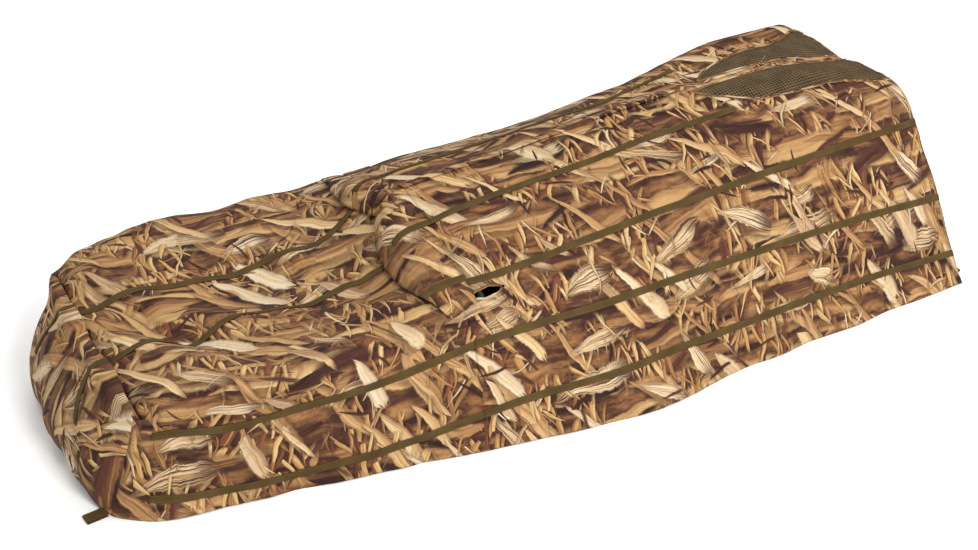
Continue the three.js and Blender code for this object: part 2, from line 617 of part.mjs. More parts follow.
const torsoBaseFrame = join(
  tube(torsoBasePath, BASE_TUBE, 48),
  crossRod(BACKREST_AXIS.x, BASE_Z - CROSS_TUBE.drop, -CROSS_TUBE.half, CROSS_TUBE.half, CROSS_TUBE.radius),
  ...withMirror(hoopBracket(MID_HOOP_X, BRACKET_YS.mid)),
  ...withMirror(hoopBracket(HEAD_HOOP_X, BRACKET_YS.head)),
  ...withMirror(hoopBracket(REST_BAR_X, BRACKET_YS.rest)),
  ...withMirror(block(...BACKREST_LUG)),
);
const footBaseFrame = join(
  tube(footBasePath, BASE_TUBE, 36),
  ...withMirror(hoopBracket(KNEE_HOOP_X, BRACKET_YS.knee)),
  ...withMirror(block(...FOOT_HOOP_LUG)),
);
addPart('torso_base_frame', cut(torsoBaseFrame, midHoop(SOCKET_GAP), headHoop(SOCKET_GAP),
  restBar(SOCKET_GAP), backPinHole), TUBE_PAINT);
addPart('foot_base_frame', cut(footBaseFrame, kneeHoop(SOCKET_GAP), footHoopPinHole), TUBE_PAINT);

// ---------- side rails and door frames ----------
const RAIL_XS = [-268, 968];
const FOOT_SOCKET_XS = [-288, -258];
const HEAD_SOCKET_XS = [956, 986];
const SOCKET_RADIUS = 12;
const [railFootEnd, railHeadEnd] = RAIL_XS.map(railAt);
const rail = rod(railFootEnd, railHeadEnd, RAIL_TUBE);
const railBores = withMirror(rod(railFootEnd, railHeadEnd, RAIL_TUBE + SOCKET_GAP));
const railSockets = (xs) => withMirror(rod(...xs.map(railAt), SOCKET_RADIUS));
addPart('mid_hoop', cut(join(midHoop(), ...railSockets(FOOT_SOCKET_XS)), ...railBores), TUBE_PAINT);
addPart('head_hoop', cut(join(headHoop(), ...railSockets(HEAD_SOCKET_XS)), ...railBores), TUBE_PAINT);
addPart('knee_hoop', kneeHoop(), TUBE_PAINT);
addPart('backrest_rest_bar', restBar(), TUBE_PAINT);

const KNUCKLE_XS = [-238, 936];
const KNUCKLE_HALF = 13;
const KNUCKLE_WALL = 3.7;
const KNUCKLE_SIDES = 14;
const BORE_XS = [-300, 1000];
const knuckle = (x) =>
  rod(railAt(x - KNUCKLE_HALF), railAt(x + KNUCKLE_HALF), RAIL_TUBE + KNUCKLE_WALL, KNUCKLE_SIDES);
const knuckleBore = rod(...BORE_XS.map(railAt), RAIL_TUBE + SOCKET_GAP, KNUCKLE_SIDES);
const FRAME_DEPTH = 13;
const SLOPE_STEP = 4;
function underDoor(x, share, depth = FRAME_DEPTH) {
  const section = sampledSection(TORSO_SECTIONS, x);
  const hinge = hingeGirth(section, x);
  const here = hinge + (endGirth(section) - hinge) * share;
  const p = pointAtGirth(section, here);
  const before = pointAtGirth(section, here - SLOPE_STEP);
  const after = pointAtGirth(section, here + SLOPE_STEP);
  const along = after.sub(before).normalize();
  return new THREE.Vector3(x, p.x - along.y * depth, p.y + along.x * depth);
}
const RIDGE_SHARE = 0.925;
// [x, share of the girth between the hinge line and the centre line]
const DOOR_FRAME_STATIONS = [
  [-240, 0.24], [-240, 0.5], [-238, 0.72], [-225, 0.88], [-180, RIDGE_SHARE], [39, RIDGE_SHARE],
  [387, RIDGE_SHARE], [755, RIDGE_SHARE], [880, RIDGE_SHARE], [925, 0.86], [936, 0.7], [936, 0.45],
  [936, 0.22],
];
const doorPath = [
  railAt(KNUCKLE_XS[0]),
  ...DOOR_FRAME_STATIONS.map(([x, share]) => underDoor(x, share)),
  railAt(KNUCKLE_XS[1]),
];
const doorFrame = cut(join(tube(doorPath, DOOR_TUBE, 44, 6), ...KNUCKLE_XS.map(knuckle)), knuckleBore);

for (const [side, name] of SIDES) {
  addPart(`${name}_side_rail`, onSide(rail, side), TUBE_PAINT);
  addPart(`${name}_door_frame`, onSide(doorFrame, side), TUBE_PAINT);
}

// ---------- frame fold hinge ----------
const PLATE_THICKNESS = 4;
const PLATE_HALF_WIDTH = 12;
function foldPlate(x, z, y) {
  const [dx, dz] = [x - FOLD_AXIS.x, z - FOLD_AXIS.z];
  const length = Math.hypot(dx, dz);
  const shape = new THREE.Shape();
  shape.absarc(0, 0, PLATE_HALF_WIDTH, Math.PI / 2, (3 * Math.PI) / 2, false);
  shape.absarc(length, 0, PLATE_HALF_WIDTH, -Math.PI / 2, Math.PI / 2, false);
  const settings = { depth: PLATE_THICKNESS, bevelEnabled: false, curveSegments: 5 };
  const plate = new THREE.ExtrudeGeometry(shape, settings);
  plate.rotateX(Math.PI / 2).rotateY(-Math.atan2(dz, dx));
  return plate.translate(FOLD_AXIS.x, y + PLATE_THICKNESS, FOLD_AXIS.z);
}
const FOLD_PIN_RADIUS = 4;
const BOLT_RADIUS = 2.5;
const REAR_PLATE_Y = 314.8;
const FRONT_PLATE_Y = 319.5;
const PLATE_BOLT = { rear: [-290, 195], front: [-410, 175] };
const HOLE_YS = [300, 350];      // well clear of both plates
const BOLT_GAP = 0.3;
const foldPinHole = crossRod(FOLD_AXIS.x, FOLD_AXIS.z, ...HOLE_YS, FOLD_PIN_RADIUS + PIN_GAP);
const boltRod = ([x, z], y0, y1, extra = 0) => crossRod(x, z, y0, y1, BOLT_RADIUS + extra, 10);
const rearPlate = cut(foldPlate(...PLATE_BOLT.rear, REAR_PLATE_Y), foldPinHole,
  boltRod(PLATE_BOLT.rear, ...HOLE_YS, BOLT_GAP));
const frontPlate = cut(foldPlate(...PLATE_BOLT.front, FRONT_PLATE_Y), foldPinHole,
  boltRod(PLATE_BOLT.front, ...HOLE_YS, BOLT_GAP));
const HEAD_RADIUS = 7;
const FOLD_PIN = { innerHead: 310.8, from: 312, to: 325, outerHead: 327 };
const BOLT_HEAD = { radius: 5, sides: 6 };
const REAR_BOLT = { head: 311, from: 312, to: 329.8 };
const FRONT_BOLT = { head: 315.8, from: 317, to: 331.8 };
const foldPinRod = (y0, y1, radius) => crossRod(FOLD_AXIS.x, FOLD_AXIS.z, y0, y1, radius);
const foldPin = join(
  foldPinRod(FOLD_PIN.from, FOLD_PIN.to, FOLD_PIN_RADIUS),
  foldPinRod(FOLD_PIN.innerHead, REAR_PLATE_Y - GAP, HEAD_RADIUS),
  foldPinRod(FRONT_PLATE_Y + PLATE_THICKNESS + GAP, FOLD_PIN.outerHead, HEAD_RADIUS),
);
const plateBolt = (at, bolt, plateY) => join(
  crossRod(...at, bolt.head, plateY - GAP, BOLT_HEAD.radius, BOLT_HEAD.sides),
  boltRod(at, bolt.from, bolt.to),
);
const rearBolt = plateBolt(PLATE_BOLT.rear, REAR_BOLT, REAR_PLATE_Y);
const frontBolt = plateBolt(PLATE_BOLT.front, FRONT_BOLT, FRONT_PLATE_Y);
for (const [side, name] of SIDES) {
  addPart(`${name}_torso_fold_plate`, onSide(rearPlate, side), STEEL);
  addPart(`${name}_foot_fold_plate`, onSide(frontPlate, side), STEEL);
  addPart(`${name}_fold_pin`, onSide(foldPin, side), STEEL);
  addPart(`${name}_torso_plate_bolt`, onSide(rearBolt, side), STEEL);
  addPart(`${name}_foot_plate_bolt`, onSide(frontBolt, side), STEEL);
}

// ---------- foot hoop, folding flat into the foot base ----------
const PIN_HEAD = { radius: PIN_RADIUS + 2.5, height: 3 };
function headedPin(axis, from, to) {
  return join(
    crossRod(axis.x, axis.z, from, to, PIN_RADIUS),
    crossRod(axis.x, axis.z, from - PIN_HEAD.height, from, PIN_HEAD.radius),
    crossRod(axis.x, axis.z, to, to + PIN_HEAD.height, PIN_HEAD.radius),
  );
}
const FOOT_HOOP_PIN_YS = [240.5, 278.6];
addPart('foot_hoop', cut(footHoop, footHoopPinHole), TUBE_PAINT);
const footHoopPin = headedPin(FOOT_HOOP_AXIS, ...FOOT_HOOP_PIN_YS);
for (const [side, name] of SIDES) addPart(`${name}_foot_hoop_pin`, onSide(footHoopPin, side), STEEL);

// ---------- backrest ----------
const BACK_LEG_Y = 205;
const BACK_LENGTH = 590;
const inclined = (geometry) =>
  geometry.rotateY(-BACKREST_TILT).translate(BACKREST_AXIS.x, 0, BACKREST_AXIS.z);
const backPath = bothSides(vectors([
  [-14, BACK_LEG_Y, 0], [120, BACK_LEG_Y, 0], [BACK_LENGTH - 70, BACK_LEG_Y, 0], [BACK_LENGTH - 16, 190, 0],
  [BACK_LENGTH, 140, 0], [BACK_LENGTH, 0, 0],
]));
addPart('backrest_frame', cut(inclined(tube(backPath, BACK_TUBE, 30)), backPinHole), TUBE_PAINT);

const BACK_PIN_YS = [BACK_LEG_Y - 9.5, 222];
const backPin = headedPin(BACKREST_AXIS, ...BACK_PIN_YS);
for (const [side, name] of SIDES) addPart(`${name}_backrest_pin`, onSide(backPin, side), STEEL);

// Cushions are crowned blocks: thick in the middle and drawn in at the edges.
const EDGE_SHARE = 0.42;         // thickness of a cushion's rim, as a share of its middle
const CROWN_POWER = 0.35;
function cushion(length, width, thickness, along = 8, across = 6) {
  const top = steps(0, 1, along).map((u) => steps(0, 1, across).map((v) => {
    const crown = (Math.sin(Math.PI * u) * Math.sin(Math.PI * v)) ** CROWN_POWER;
    const height = thickness * (EDGE_SHARE + (1 - EDGE_SHARE) * crown);
    return new THREE.Vector3(u * length, (v - 0.5) * width, height);
  }));
  const [n, m] = [along + 1, across + 1];
  const positions = [];
  for (const row of top) for (const p of row) positions.push(p.x, p.y, p.z);
  for (const row of top) for (const p of row) positions.push(p.x, p.y, 0);
  const index = [];
  const quad = (a, b, c, d) => index.push(a, b, c, a, c, d);
  const id = (i, j) => i * m + j;
  for (let i = 0; i < n - 1; i += 1) {
    for (let j = 0; j < m - 1; j += 1) {
      quad(id(i, j), id(i + 1, j), id(i + 1, j + 1), id(i, j + 1));
      quad(n * m + id(i, j), n * m + id(i, j + 1), n * m + id(i + 1, j + 1), n * m + id(i + 1, j));
    }
    quad(id(i, 0), n * m + id(i, 0), n * m + id(i + 1, 0), id(i + 1, 0));
    quad(id(i, m - 1), id(i + 1, m - 1), n * m + id(i + 1, m - 1), n * m + id(i, m - 1));
  }
  for (let j = 0; j < m - 1; j += 1) {
    quad(id(0, j), id(0, j + 1), n * m + id(0, j + 1), n * m + id(0, j));
    quad(id(n - 1, j), n * m + id(n - 1, j), n * m + id(n - 1, j + 1), id(n - 1, j + 1));
  }
  const geometry = new THREE.BufferGeometry();
  geometry.setAttribute('position', new THREE.BufferAttribute(new Float32Array(positions), 3));
  geometry.setIndex(index);
  return facingOut(geometry);
}
const BACK_PAD = { start: 40, length: 545, width: 400, thickness: 42 };
const PILLOW = { start: 440, length: 125, width: 290, thickness: 52, clearance: 1 };
const PAD_CLEARANCE = 0.6;
const padBase = BACK_TUBE + PAD_CLEARANCE;
const pillowBase = padBase + BACK_PAD.thickness + PILLOW.clearance;
const backPad = cushion(BACK_PAD.length, BACK_PAD.width, BACK_PAD.thickness)
  .translate(BACK_PAD.start, 0, padBase);
const pillow = cushion(PILLOW.length, PILLOW.width, PILLOW.thickness, 4, 6)
  .translate(PILLOW.start, 0, pillowBase);
addPart('backrest_pad', inclined(backPad), PAD);
addPart('headrest_pillow', inclined(pillow), PAD);

export default group;
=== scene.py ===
"""Layout field blind: fabric shell, webbing, nets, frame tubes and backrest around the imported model."""

import math
import random

import bmesh
import bpy
import numpy as np
from mathutils import Matrix, Vector


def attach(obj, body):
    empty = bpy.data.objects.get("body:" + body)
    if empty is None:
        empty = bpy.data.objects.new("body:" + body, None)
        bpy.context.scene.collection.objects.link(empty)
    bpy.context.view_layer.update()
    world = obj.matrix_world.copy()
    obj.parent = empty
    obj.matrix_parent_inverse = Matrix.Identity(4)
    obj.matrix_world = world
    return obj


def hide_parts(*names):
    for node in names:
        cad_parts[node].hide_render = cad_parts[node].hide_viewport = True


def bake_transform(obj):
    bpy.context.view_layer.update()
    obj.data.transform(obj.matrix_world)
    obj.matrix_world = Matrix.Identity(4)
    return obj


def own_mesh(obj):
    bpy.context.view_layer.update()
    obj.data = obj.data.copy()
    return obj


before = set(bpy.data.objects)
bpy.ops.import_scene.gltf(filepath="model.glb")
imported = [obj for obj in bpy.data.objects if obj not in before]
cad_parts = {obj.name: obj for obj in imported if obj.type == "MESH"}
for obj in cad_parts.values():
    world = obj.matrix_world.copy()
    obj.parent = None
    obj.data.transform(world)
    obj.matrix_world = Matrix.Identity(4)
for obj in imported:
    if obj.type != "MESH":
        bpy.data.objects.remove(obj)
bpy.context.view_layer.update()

MM = 0.001
SIDES = (("left", -1), ("right", 1))

# ---------- driving dimensions, millimetres, as in the CAD part ----------
HEM_FOOT_X = -1065
FOOT_TOP_X = -985
HEAD_TOP_X = 1003
HEAD_LEAN = 62
HEAD_LEAN_START_X = 755
HEAD_EAVE_Z = 335
FOOT_LEAN_START_X = -850
FOOT_EAVE_Z = 240
SPLIT_X = -302
DOOR_FOOT_X = -262
GUSSET_BELOW = 30
GUSSET_ABOVE = 36
STRAP_WIDTH = 15
STRAP_THICKNESS = 1.6
CLOTH_THICKNESS = 1.4
LOWEST_SKIN_Z = 0.3             # no outer surface lies lower than this
RAIL_FOOT = np.array((-270.0, 323.0, 266.0))
RAIL_HEAD = np.array((985.0, 289.0, 326.0))
BACKREST_AXIS = (330, 36)
BACKREST_TILT = math.radians(17)

MERGE_DISTANCE = 1e-5           # metres
SHARP_ANGLE = 35                # degrees; edges of hard pieces sharper than this stay sharp
MOST_OF_RECTANGLE = 0.999       # a cut sheet's area is at most this share of its rectangle

# x, then y and z at the hem, lower strap, upper strap, shoulder, centre strap and centre line
TORSO_SECTIONS = np.array([
    [-302, 459, 0, 431, 74, 394, 226, 296, 305, 136, 364, 0, 396],
    [-200, 475, 0, 440, 88, 396, 236, 285, 320, 133, 382, 0, 410],
    [39, 513, 0, 460, 106, 392, 242, 262, 344, 126, 400, 0, 431],
    [387, 482, 0, 440, 106, 378, 242, 255, 373, 130, 440, 0, 470],
    [755, 465, 0, 426, 102, 373, 242, 261, 402, 148, 470, 0, 489],
    [1003, 450, 0, 416, 87, 363, 227, 261, 407, 148, 472, 0, 456],
], float)
FOOT_SECTIONS = np.array([
    [-985, 298, 0, 311, 61, 310, 190, 318, 240, 113, 255, 0, 243],
    [-900, 345, 0, 337, 40, 334, 181, 336, 268, 114, 254, 0, 234],
    [-678, 387, 0, 376, 32, 358, 176, 350, 276, 98, 246, 0, 232],
    [-455, 426, 0, 410, 50, 380, 197, 347, 273, 101, 256, 0, 254],
    [-302, 459, 0, 431, 74, 394, 226, 320, 290, 126, 324, 0, 336],
], float)
HEM, LOWER_STRAP, UPPER_STRAP, SHOULDER, CENTRE_STRAP, RIDGE = range(6)
# how far each torso strap lies from its corner along the girth: x stations, then shifts
STRAP_SHIFTS = {
    LOWER_STRAP: ((-302, 0, 1003), (0, -12, -12)),
    UPPER_STRAP: ((-302, 0, 1003), (0, -12, -12)),
    SHOULDER: ((-262, -200, -60, 100, 755, 1003), (0, -13, -27, -31, -31, -24)),
    CENTRE_STRAP: ((-262, 1003), (12, 16)),
}


# ---------- the shell's sections ----------
def corners_at(table, x):
    """The six corners of the section at x, by Hermite interpolation along the table."""
    xs = table[:, 0]
    last = len(xs) - 1
    k = int(np.clip(np.searchsorted(xs, x) - 1, 0, last - 1))

    def slope(i):
        a, b = max(i - 1, 0), min(i + 1, last)
        return (table[b, 1:] - table[a, 1:]) / (xs[b] - xs[a])

    width = xs[k + 1] - xs[k]
    t = (x - xs[k]) / width
    t2, t3 = t * t, t * t * t
    value = (
        (2 * t3 - 3 * t2 + 1) * table[k, 1:]
        + (t3 - 2 * t2 + t) * slope(k) * width
        + (3 * t2 - 2 * t3) * table[k + 1, 1:]
        + (t3 - t2) * slope(k + 1) * width
    )
    return value.reshape(6, 2)


def spline_points(corners, per_span=48):
    """A uniform Catmull-Rom curve through the corners."""
    t = np.linspace(0, 1, per_span, endpoint=False)[:, None]
    runs = []
    last = len(corners) - 1
    for i in range(last):
        p0, p1 = corners[max(i - 1, 0)], corners[i]
        p2, p3 = corners[i + 1], corners[min(i + 2, last)]
        v0, v1 = (p2 - p0) * 0.5, (p3 - p1) * 0.5
        cubic = 2 * p1 - 2 * p2 + v0 + v1
        square = -3 * p1 + 3 * p2 - 2 * v0 - v1
        runs.append(cubic * t**3 + square * t**2 + v0 * t + p1)
    return np.vstack([*runs, corners[last:]])


def lengths_along(points):
    steps = np.linalg.norm(np.diff(points, axis=0), axis=1)
    return np.concatenate([[0], np.cumsum(steps)])


def rail_at(x):
    return RAIL_FOOT + (RAIL_HEAD - RAIL_FOOT) * (x - RAIL_FOOT[0]) / (RAIL_HEAD[0] - RAIL_FOOT[0])


class Section:
    """One cross section of the shell, measured by girth from the hem to the centre line."""

    def __init__(self, table, x):
        self.x = x
        self.corners = corners_at(table, x)
        self.points = spline_points(self.corners)
        self.girth = lengths_along(self.points)
        self.total = self.girth[-1]
        self.hinge = self.nearest(rail_at(x)[1:])

    def nearest(self, target):
        return self.girth[np.argmin(np.linalg.norm(self.points - target, axis=1))]

    def at(self, girth):
        y = np.interp(girth, self.girth, self.points[:, 0])
        z = np.interp(girth, self.girth, self.points[:, 1])
        return y, z

    def girth_at_y(self, y):
        half = len(self.points) // 2
        return np.interp(-y, -self.points[half:, 0], self.girth[half:])


def lean_x(x, z):
    head = HEAD_LEAN * (x - HEAD_LEAN_START_X) / (HEAD_TOP_X - HEAD_LEAN_START_X)
    head = head * np.maximum(0, 1 - z / HEAD_EAVE_Z)
    foot = (HEM_FOOT_X - FOOT_TOP_X) * (x - FOOT_LEAN_START_X) / (FOOT_TOP_X - FOOT_LEAN_START_X)
    foot = foot * np.maximum(0, 1 - z / FOOT_EAVE_Z)
    return x + np.where(x > HEAD_LEAN_START_X, head, 0) + np.where(x < FOOT_LEAN_START_X, foot, 0)


def smoothstep(low, high, value):
    t = np.clip((value - low) / (high - low), 0, 1)
    return t * t * (3 - 2 * t)


# ---------- soft relief: ripples and folds of the cloth ----------
def ripples(seed, wave_x, wave_g, count=14):
    """A smooth random field over x and girth, built from sine waves; about -1 to 1."""
    rng = random.Random(seed)
    waves = []
    for _ in range(count):
        kx = 2 * math.pi / wave_x * rng.uniform(0.4, 1.3) * rng.choice((-1, 1))
        kg = 2 * math.pi / wave_g * rng.uniform(0.4, 1.3)
        waves.append((kx, kg, rng.uniform(0, 2 * math.pi)))

    def field(x, g):
        total = sum(np.sin(kx * x + kg * g + phase) for kx, kg, phase in waves)
        return total / math.sqrt(count)

    return field


BROAD = ripples(3, 420, 260)
DIAGONAL = ripples(8, 170, 120)
FINE = ripples(15, 70, 90)


def distance_to_path(points, path):
    """Distance of each point (n, 3) to a polyline, and how far along it the nearest place is, 0 to 1."""
    path = np.asarray(path, float)
    marks = lengths_along(path)
    best = np.full(len(points), 1e9)
    share = np.zeros(len(points))
    for a, b, start, end in zip(path[:-1], path[1:], marks[:-1], marks[1:]):
        run = b - a
        t = np.clip((points - a) @ run / (run @ run), 0, 1)
        gap = np.linalg.norm(points - (a + t[:, None] * run), axis=1)
        closer = gap < best
        best = np.where(closer, gap, best)
        share = np.where(closer, (start + t * (end - start)) / marks[-1], share)
    return best, share


def folded(grid, folds):
    """Height added by a list of folds: (path, half width, height), fading out at both ends."""
    points = grid.reshape(-1, 3)
    height = np.zeros(len(points))
    for path, half_width, rise in folds:
        gap, share = distance_to_path(points, path)
        fade = np.sin(math.pi * np.clip(share * 0.9 + 0.05, 0, 1)) ** 0.7
        height += rise * fade * np.exp(-0.5 * (gap / half_width) ** 2)
    return height.reshape(grid.shape[:2])


# ---------- mesh building ----------
def grid_normals(grid, outward):
    along = np.gradient(grid, axis=0)
    across = np.gradient(grid, axis=1)
    normal = np.cross(along, across)
    normal /= np.maximum(np.linalg.norm(normal, axis=2, keepdims=True), 1e-9)
    facing = np.sum(normal * outward(grid), axis=2)
    if facing.mean() < 0:
        normal = -normal
    return normal


def from_spine(grid):
    """Directions away from a line along X, 60 mm above the ground."""
    return grid - np.array((0, 0, 60.0)) - grid * np.array((1, 0, 0))


def raised(grid, height, outward=from_spine):
    """The grid moved out along its normals by a height at each point."""
    return grid + grid_normals(grid, outward) * height[..., None]


def new_object(name, verts, faces, uvs=None, materials=(), indices=None, smooth=True):
    mesh = bpy.data.meshes.new(name)
    mesh.from_pydata([tuple(v) for v in verts], [], faces)
    if uvs is not None:
        layer = mesh.uv_layers.new(name="UVMap")
        corner = np.empty(len(mesh.loops), int)
        mesh.loops.foreach_get("vertex_index", corner)
        layer.data.foreach_set("uv", np.asarray(uvs, float)[corner].ravel())
    for item in materials:
        mesh.materials.append(item)
    if indices is not None:
        mesh.polygons.foreach_set("material_index", indices)
    if smooth:
        mesh.polygons.foreach_set("use_smooth", [True] * len(mesh.polygons))
    mesh.update()
    obj = bpy.data.objects.new(name, mesh)
    bpy.context.collection.objects.link(obj)
    return obj


def clean(obj, sharp_angle=None):
    """Merge doubled vertices, drop empty faces and make the faces point out."""
    bm = bmesh.new()
    bm.from_mesh(obj.data)
    bmesh.ops.remove_doubles(bm, verts=bm.verts, dist=MERGE_DISTANCE)
    bmesh.ops.dissolve_degenerate(bm, edges=bm.edges, dist=MERGE_DISTANCE)
    bmesh.ops.recalc_face_normals(bm, faces=bm.faces)
    bm.to_mesh(obj.data)
    bm.free()
    if sharp_angle is not None:
        obj.data.set_sharp_from_angle(angle=math.radians(sharp_angle))
    return obj


def shell(name, grid, uv, outer, inner=None, thickness=CLOTH_THICKNESS, lift=0.0, outward=from_spine,
          skip=None, relief=None):
    """A closed thin sheet over a grid of points in millimetres; skip(i, j) leaves faces out."""
    if relief is not None:
        grid = raised(grid, relief, outward)
    normal = grid_normals(grid, outward)
    top = grid + normal * lift
    bottom = grid + normal * (lift - thickness)
    top[..., 2] = np.maximum(top[..., 2], LOWEST_SKIN_Z)
    bottom[..., 2] = np.maximum(bottom[..., 2], 0.0)
    n, m = grid.shape[:2]
    verts = np.vstack([top.reshape(-1, 3), bottom.reshape(-1, 3)]) * MM
    present = np.ones((n - 1, m - 1), bool)
    if skip is not None:
        for i in range(n - 1):
            for j in range(m - 1):
                present[i, j] = not skip(i, j)
    faces, kinds = [], []
    size = n * m

    def vertex(i, j):
        return i * m + j

    def rim(a, b):
        faces.append((a, b, b + size, a + size))
        kinds.append(0)

    for i in range(n - 1):
        for j in range(m - 1):
            if not present[i, j]:
                continue
            a, b, c, d = vertex(i, j), vertex(i + 1, j), vertex(i + 1, j + 1), vertex(i, j + 1)
            faces.append((a, b, c, d))
            kinds.append(0)
            faces.append((a + size, d + size, c + size, b + size))
            kinds.append(1 if inner else 0)
            if i == 0 or not present[i - 1, j]:
                rim(a, d)
            if i == n - 2 or not present[i + 1, j]:
                rim(b, c)
            if j == 0 or not present[i, j - 1]:
                rim(a, b)
            if j == m - 2 or not present[i, j + 1]:
                rim(d, c)
    used = sorted({v for face in faces for v in face})
    remap = {v: k for k, v in enumerate(used)}
    faces = [tuple(remap[v] for v in face) for face in faces]
    flat_uv = np.vstack([uv.reshape(-1, 2), uv.reshape(-1, 2)])[used] * MM
    materials = [outer, inner] if inner else [outer]
    obj = new_object(name, verts[used], faces, flat_uv, materials, kinds)
    return clean(obj)


def area_of(grid):
    """Area of a grid in square metres, for the cut size of a sheet."""
    a = grid[1:, 1:] - grid[:-1, :-1]
    b = grid[:-1, 1:] - grid[1:, :-1]
    return float(np.linalg.norm(np.cross(a, b), axis=2).sum()) * 0.5 * MM * MM


def sides_of(grid):
    """Mean length of a grid's two directions in metres."""
    length = np.linalg.norm(np.diff(grid, axis=0), axis=2).sum(axis=0).mean()
    width = np.linalg.norm(np.diff(grid, axis=1), axis=2).sum(axis=1).mean()
    return width * MM, length * MM


# ---------- tubes ----------
def centripetal(points, samples):
    """A centripetal Catmull-Rom curve through the points, evenly sampled by share of its spans."""
    points = np.asarray(points, float)
    first = 2 * points[0] - points[1]
    final = 2 * points[-1] - points[-2]
    padded = np.vstack([first, points, final])
    out = []
    for k in range(len(points) - 1):
        p = padded[k:k + 4]
        knots = np.concatenate([[0], np.cumsum(np.sqrt(np.linalg.norm(np.diff(p, axis=0), axis=1)))])
        t = np.linspace(knots[1], knots[2], samples, endpoint=False)[:, None]

        def lerp(a, b, i, j):
            return (a * (knots[j] - t) + b * (t - knots[i])) / (knots[j] - knots[i])

        a1, a2, a3 = lerp(p[0], p[1], 0, 1), lerp(p[1], p[2], 1, 2), lerp(p[2], p[3], 2, 3)
        b1, b2 = lerp(a1, a2, 0, 2), lerp(a2, a3, 1, 3)
        out.append(lerp(b1, b2, 1, 2))
    return np.vstack([*out, points[-1:]])


def swept(path, radius, sides=20, widths=None):
    """Vertices, faces and uvs of a tube along a polyline in millimetres."""
    path = np.asarray(path, float)
    tangent = np.gradient(path, axis=0)
    tangent /= np.linalg.norm(tangent, axis=1, keepdims=True)
    guide = Vector((0, 0, 1)) if abs(tangent[0][2]) < 0.9 else Vector((0, 1, 0))
    normal = Vector(tangent[0]).cross(guide).normalized()
    rings, uvs = [], []
    marks = lengths_along(path)
    turn = np.linspace(0, 2 * math.pi, sides, endpoint=False)
    profile = np.stack([np.cos(turn), np.sin(turn)], axis=1) * radius
    previous = Vector(tangent[0])
    if widths is None:
        widths = np.ones(len(path))
    for place, direction, mark, width in zip(path, tangent, marks, widths):
        direction = Vector(direction)
        normal = previous.rotation_difference(direction) @ normal
        previous = direction
        binormal = direction.cross(normal)
        rings.append([Vector(place) + normal * (a * width) + binormal * (b * width) for a, b in profile])
        uvs += [(mark, k * 4.0) for k in range(sides)]
    verts = [v * MM for ring in rings for v in ring]
    faces = []
    for i in range(len(rings) - 1):
        for k in range(sides):
            a, b = i * sides + k, i * sides + (k + 1) % sides
            faces.append((a, b, b + sides, a + sides))
    faces.append(tuple(range(sides))[::-1])
    faces.append(tuple((len(rings) - 1) * sides + k for k in range(sides)))
    return verts, faces, [(u * MM, v * MM) for u, v in uvs]


def merged_object(name, parts, materials):
    """One object from several (verts, faces, uvs) parts."""
    verts, faces, uvs = [], [], []
    for part_verts, part_faces, part_uvs in parts:
        base = len(verts)
        verts += list(part_verts)
        faces += [tuple(base + v for v in face) for face in part_faces]
        uvs += list(part_uvs)
    obj = new_object(name, verts, faces, uvs, materials)
    return clean(obj, sharp_angle=SHARP_ANGLE)


def rounded_block(low, high, bevel=1.5):
    """A box with bevelled edges, in millimetres."""
    bm = bmesh.new()
    bmesh.ops.create_cube(bm, size=1)
    low, high = Vector(low), Vector(high)
    middle, span = (low + high) / 2, high - low
    for v in bm.verts:
        v.co = Vector((v.co.x * span.x, v.co.y * span.y, v.co.z * span.z)) + middle
    bmesh.ops.bevel(bm, geom=bm.edges[:], offset=bevel, segments=3, affect="EDGES", profile=0.5)
    bm.verts.index_update()
    verts = [v.co * MM for v in bm.verts]
    faces = [tuple(v.index for v in face.verts) for face in bm.faces]
    bm.free()
    return verts, faces, [(v.x, v.y + v.z) for v in verts]


def both_sides(points):
    """A path from the left side over the middle to the right, from its right half."""
    points = [tuple(p) for p in points]
    return [(x, -y, z) for x, y, z in points] + points[:-1][::-1]


def finish_piece(obj, body, replaced=()):
    """Ride a body, and stand for CAD nodes."""
    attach(obj, body)
    if replaced:
        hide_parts(*replaced)
    return obj


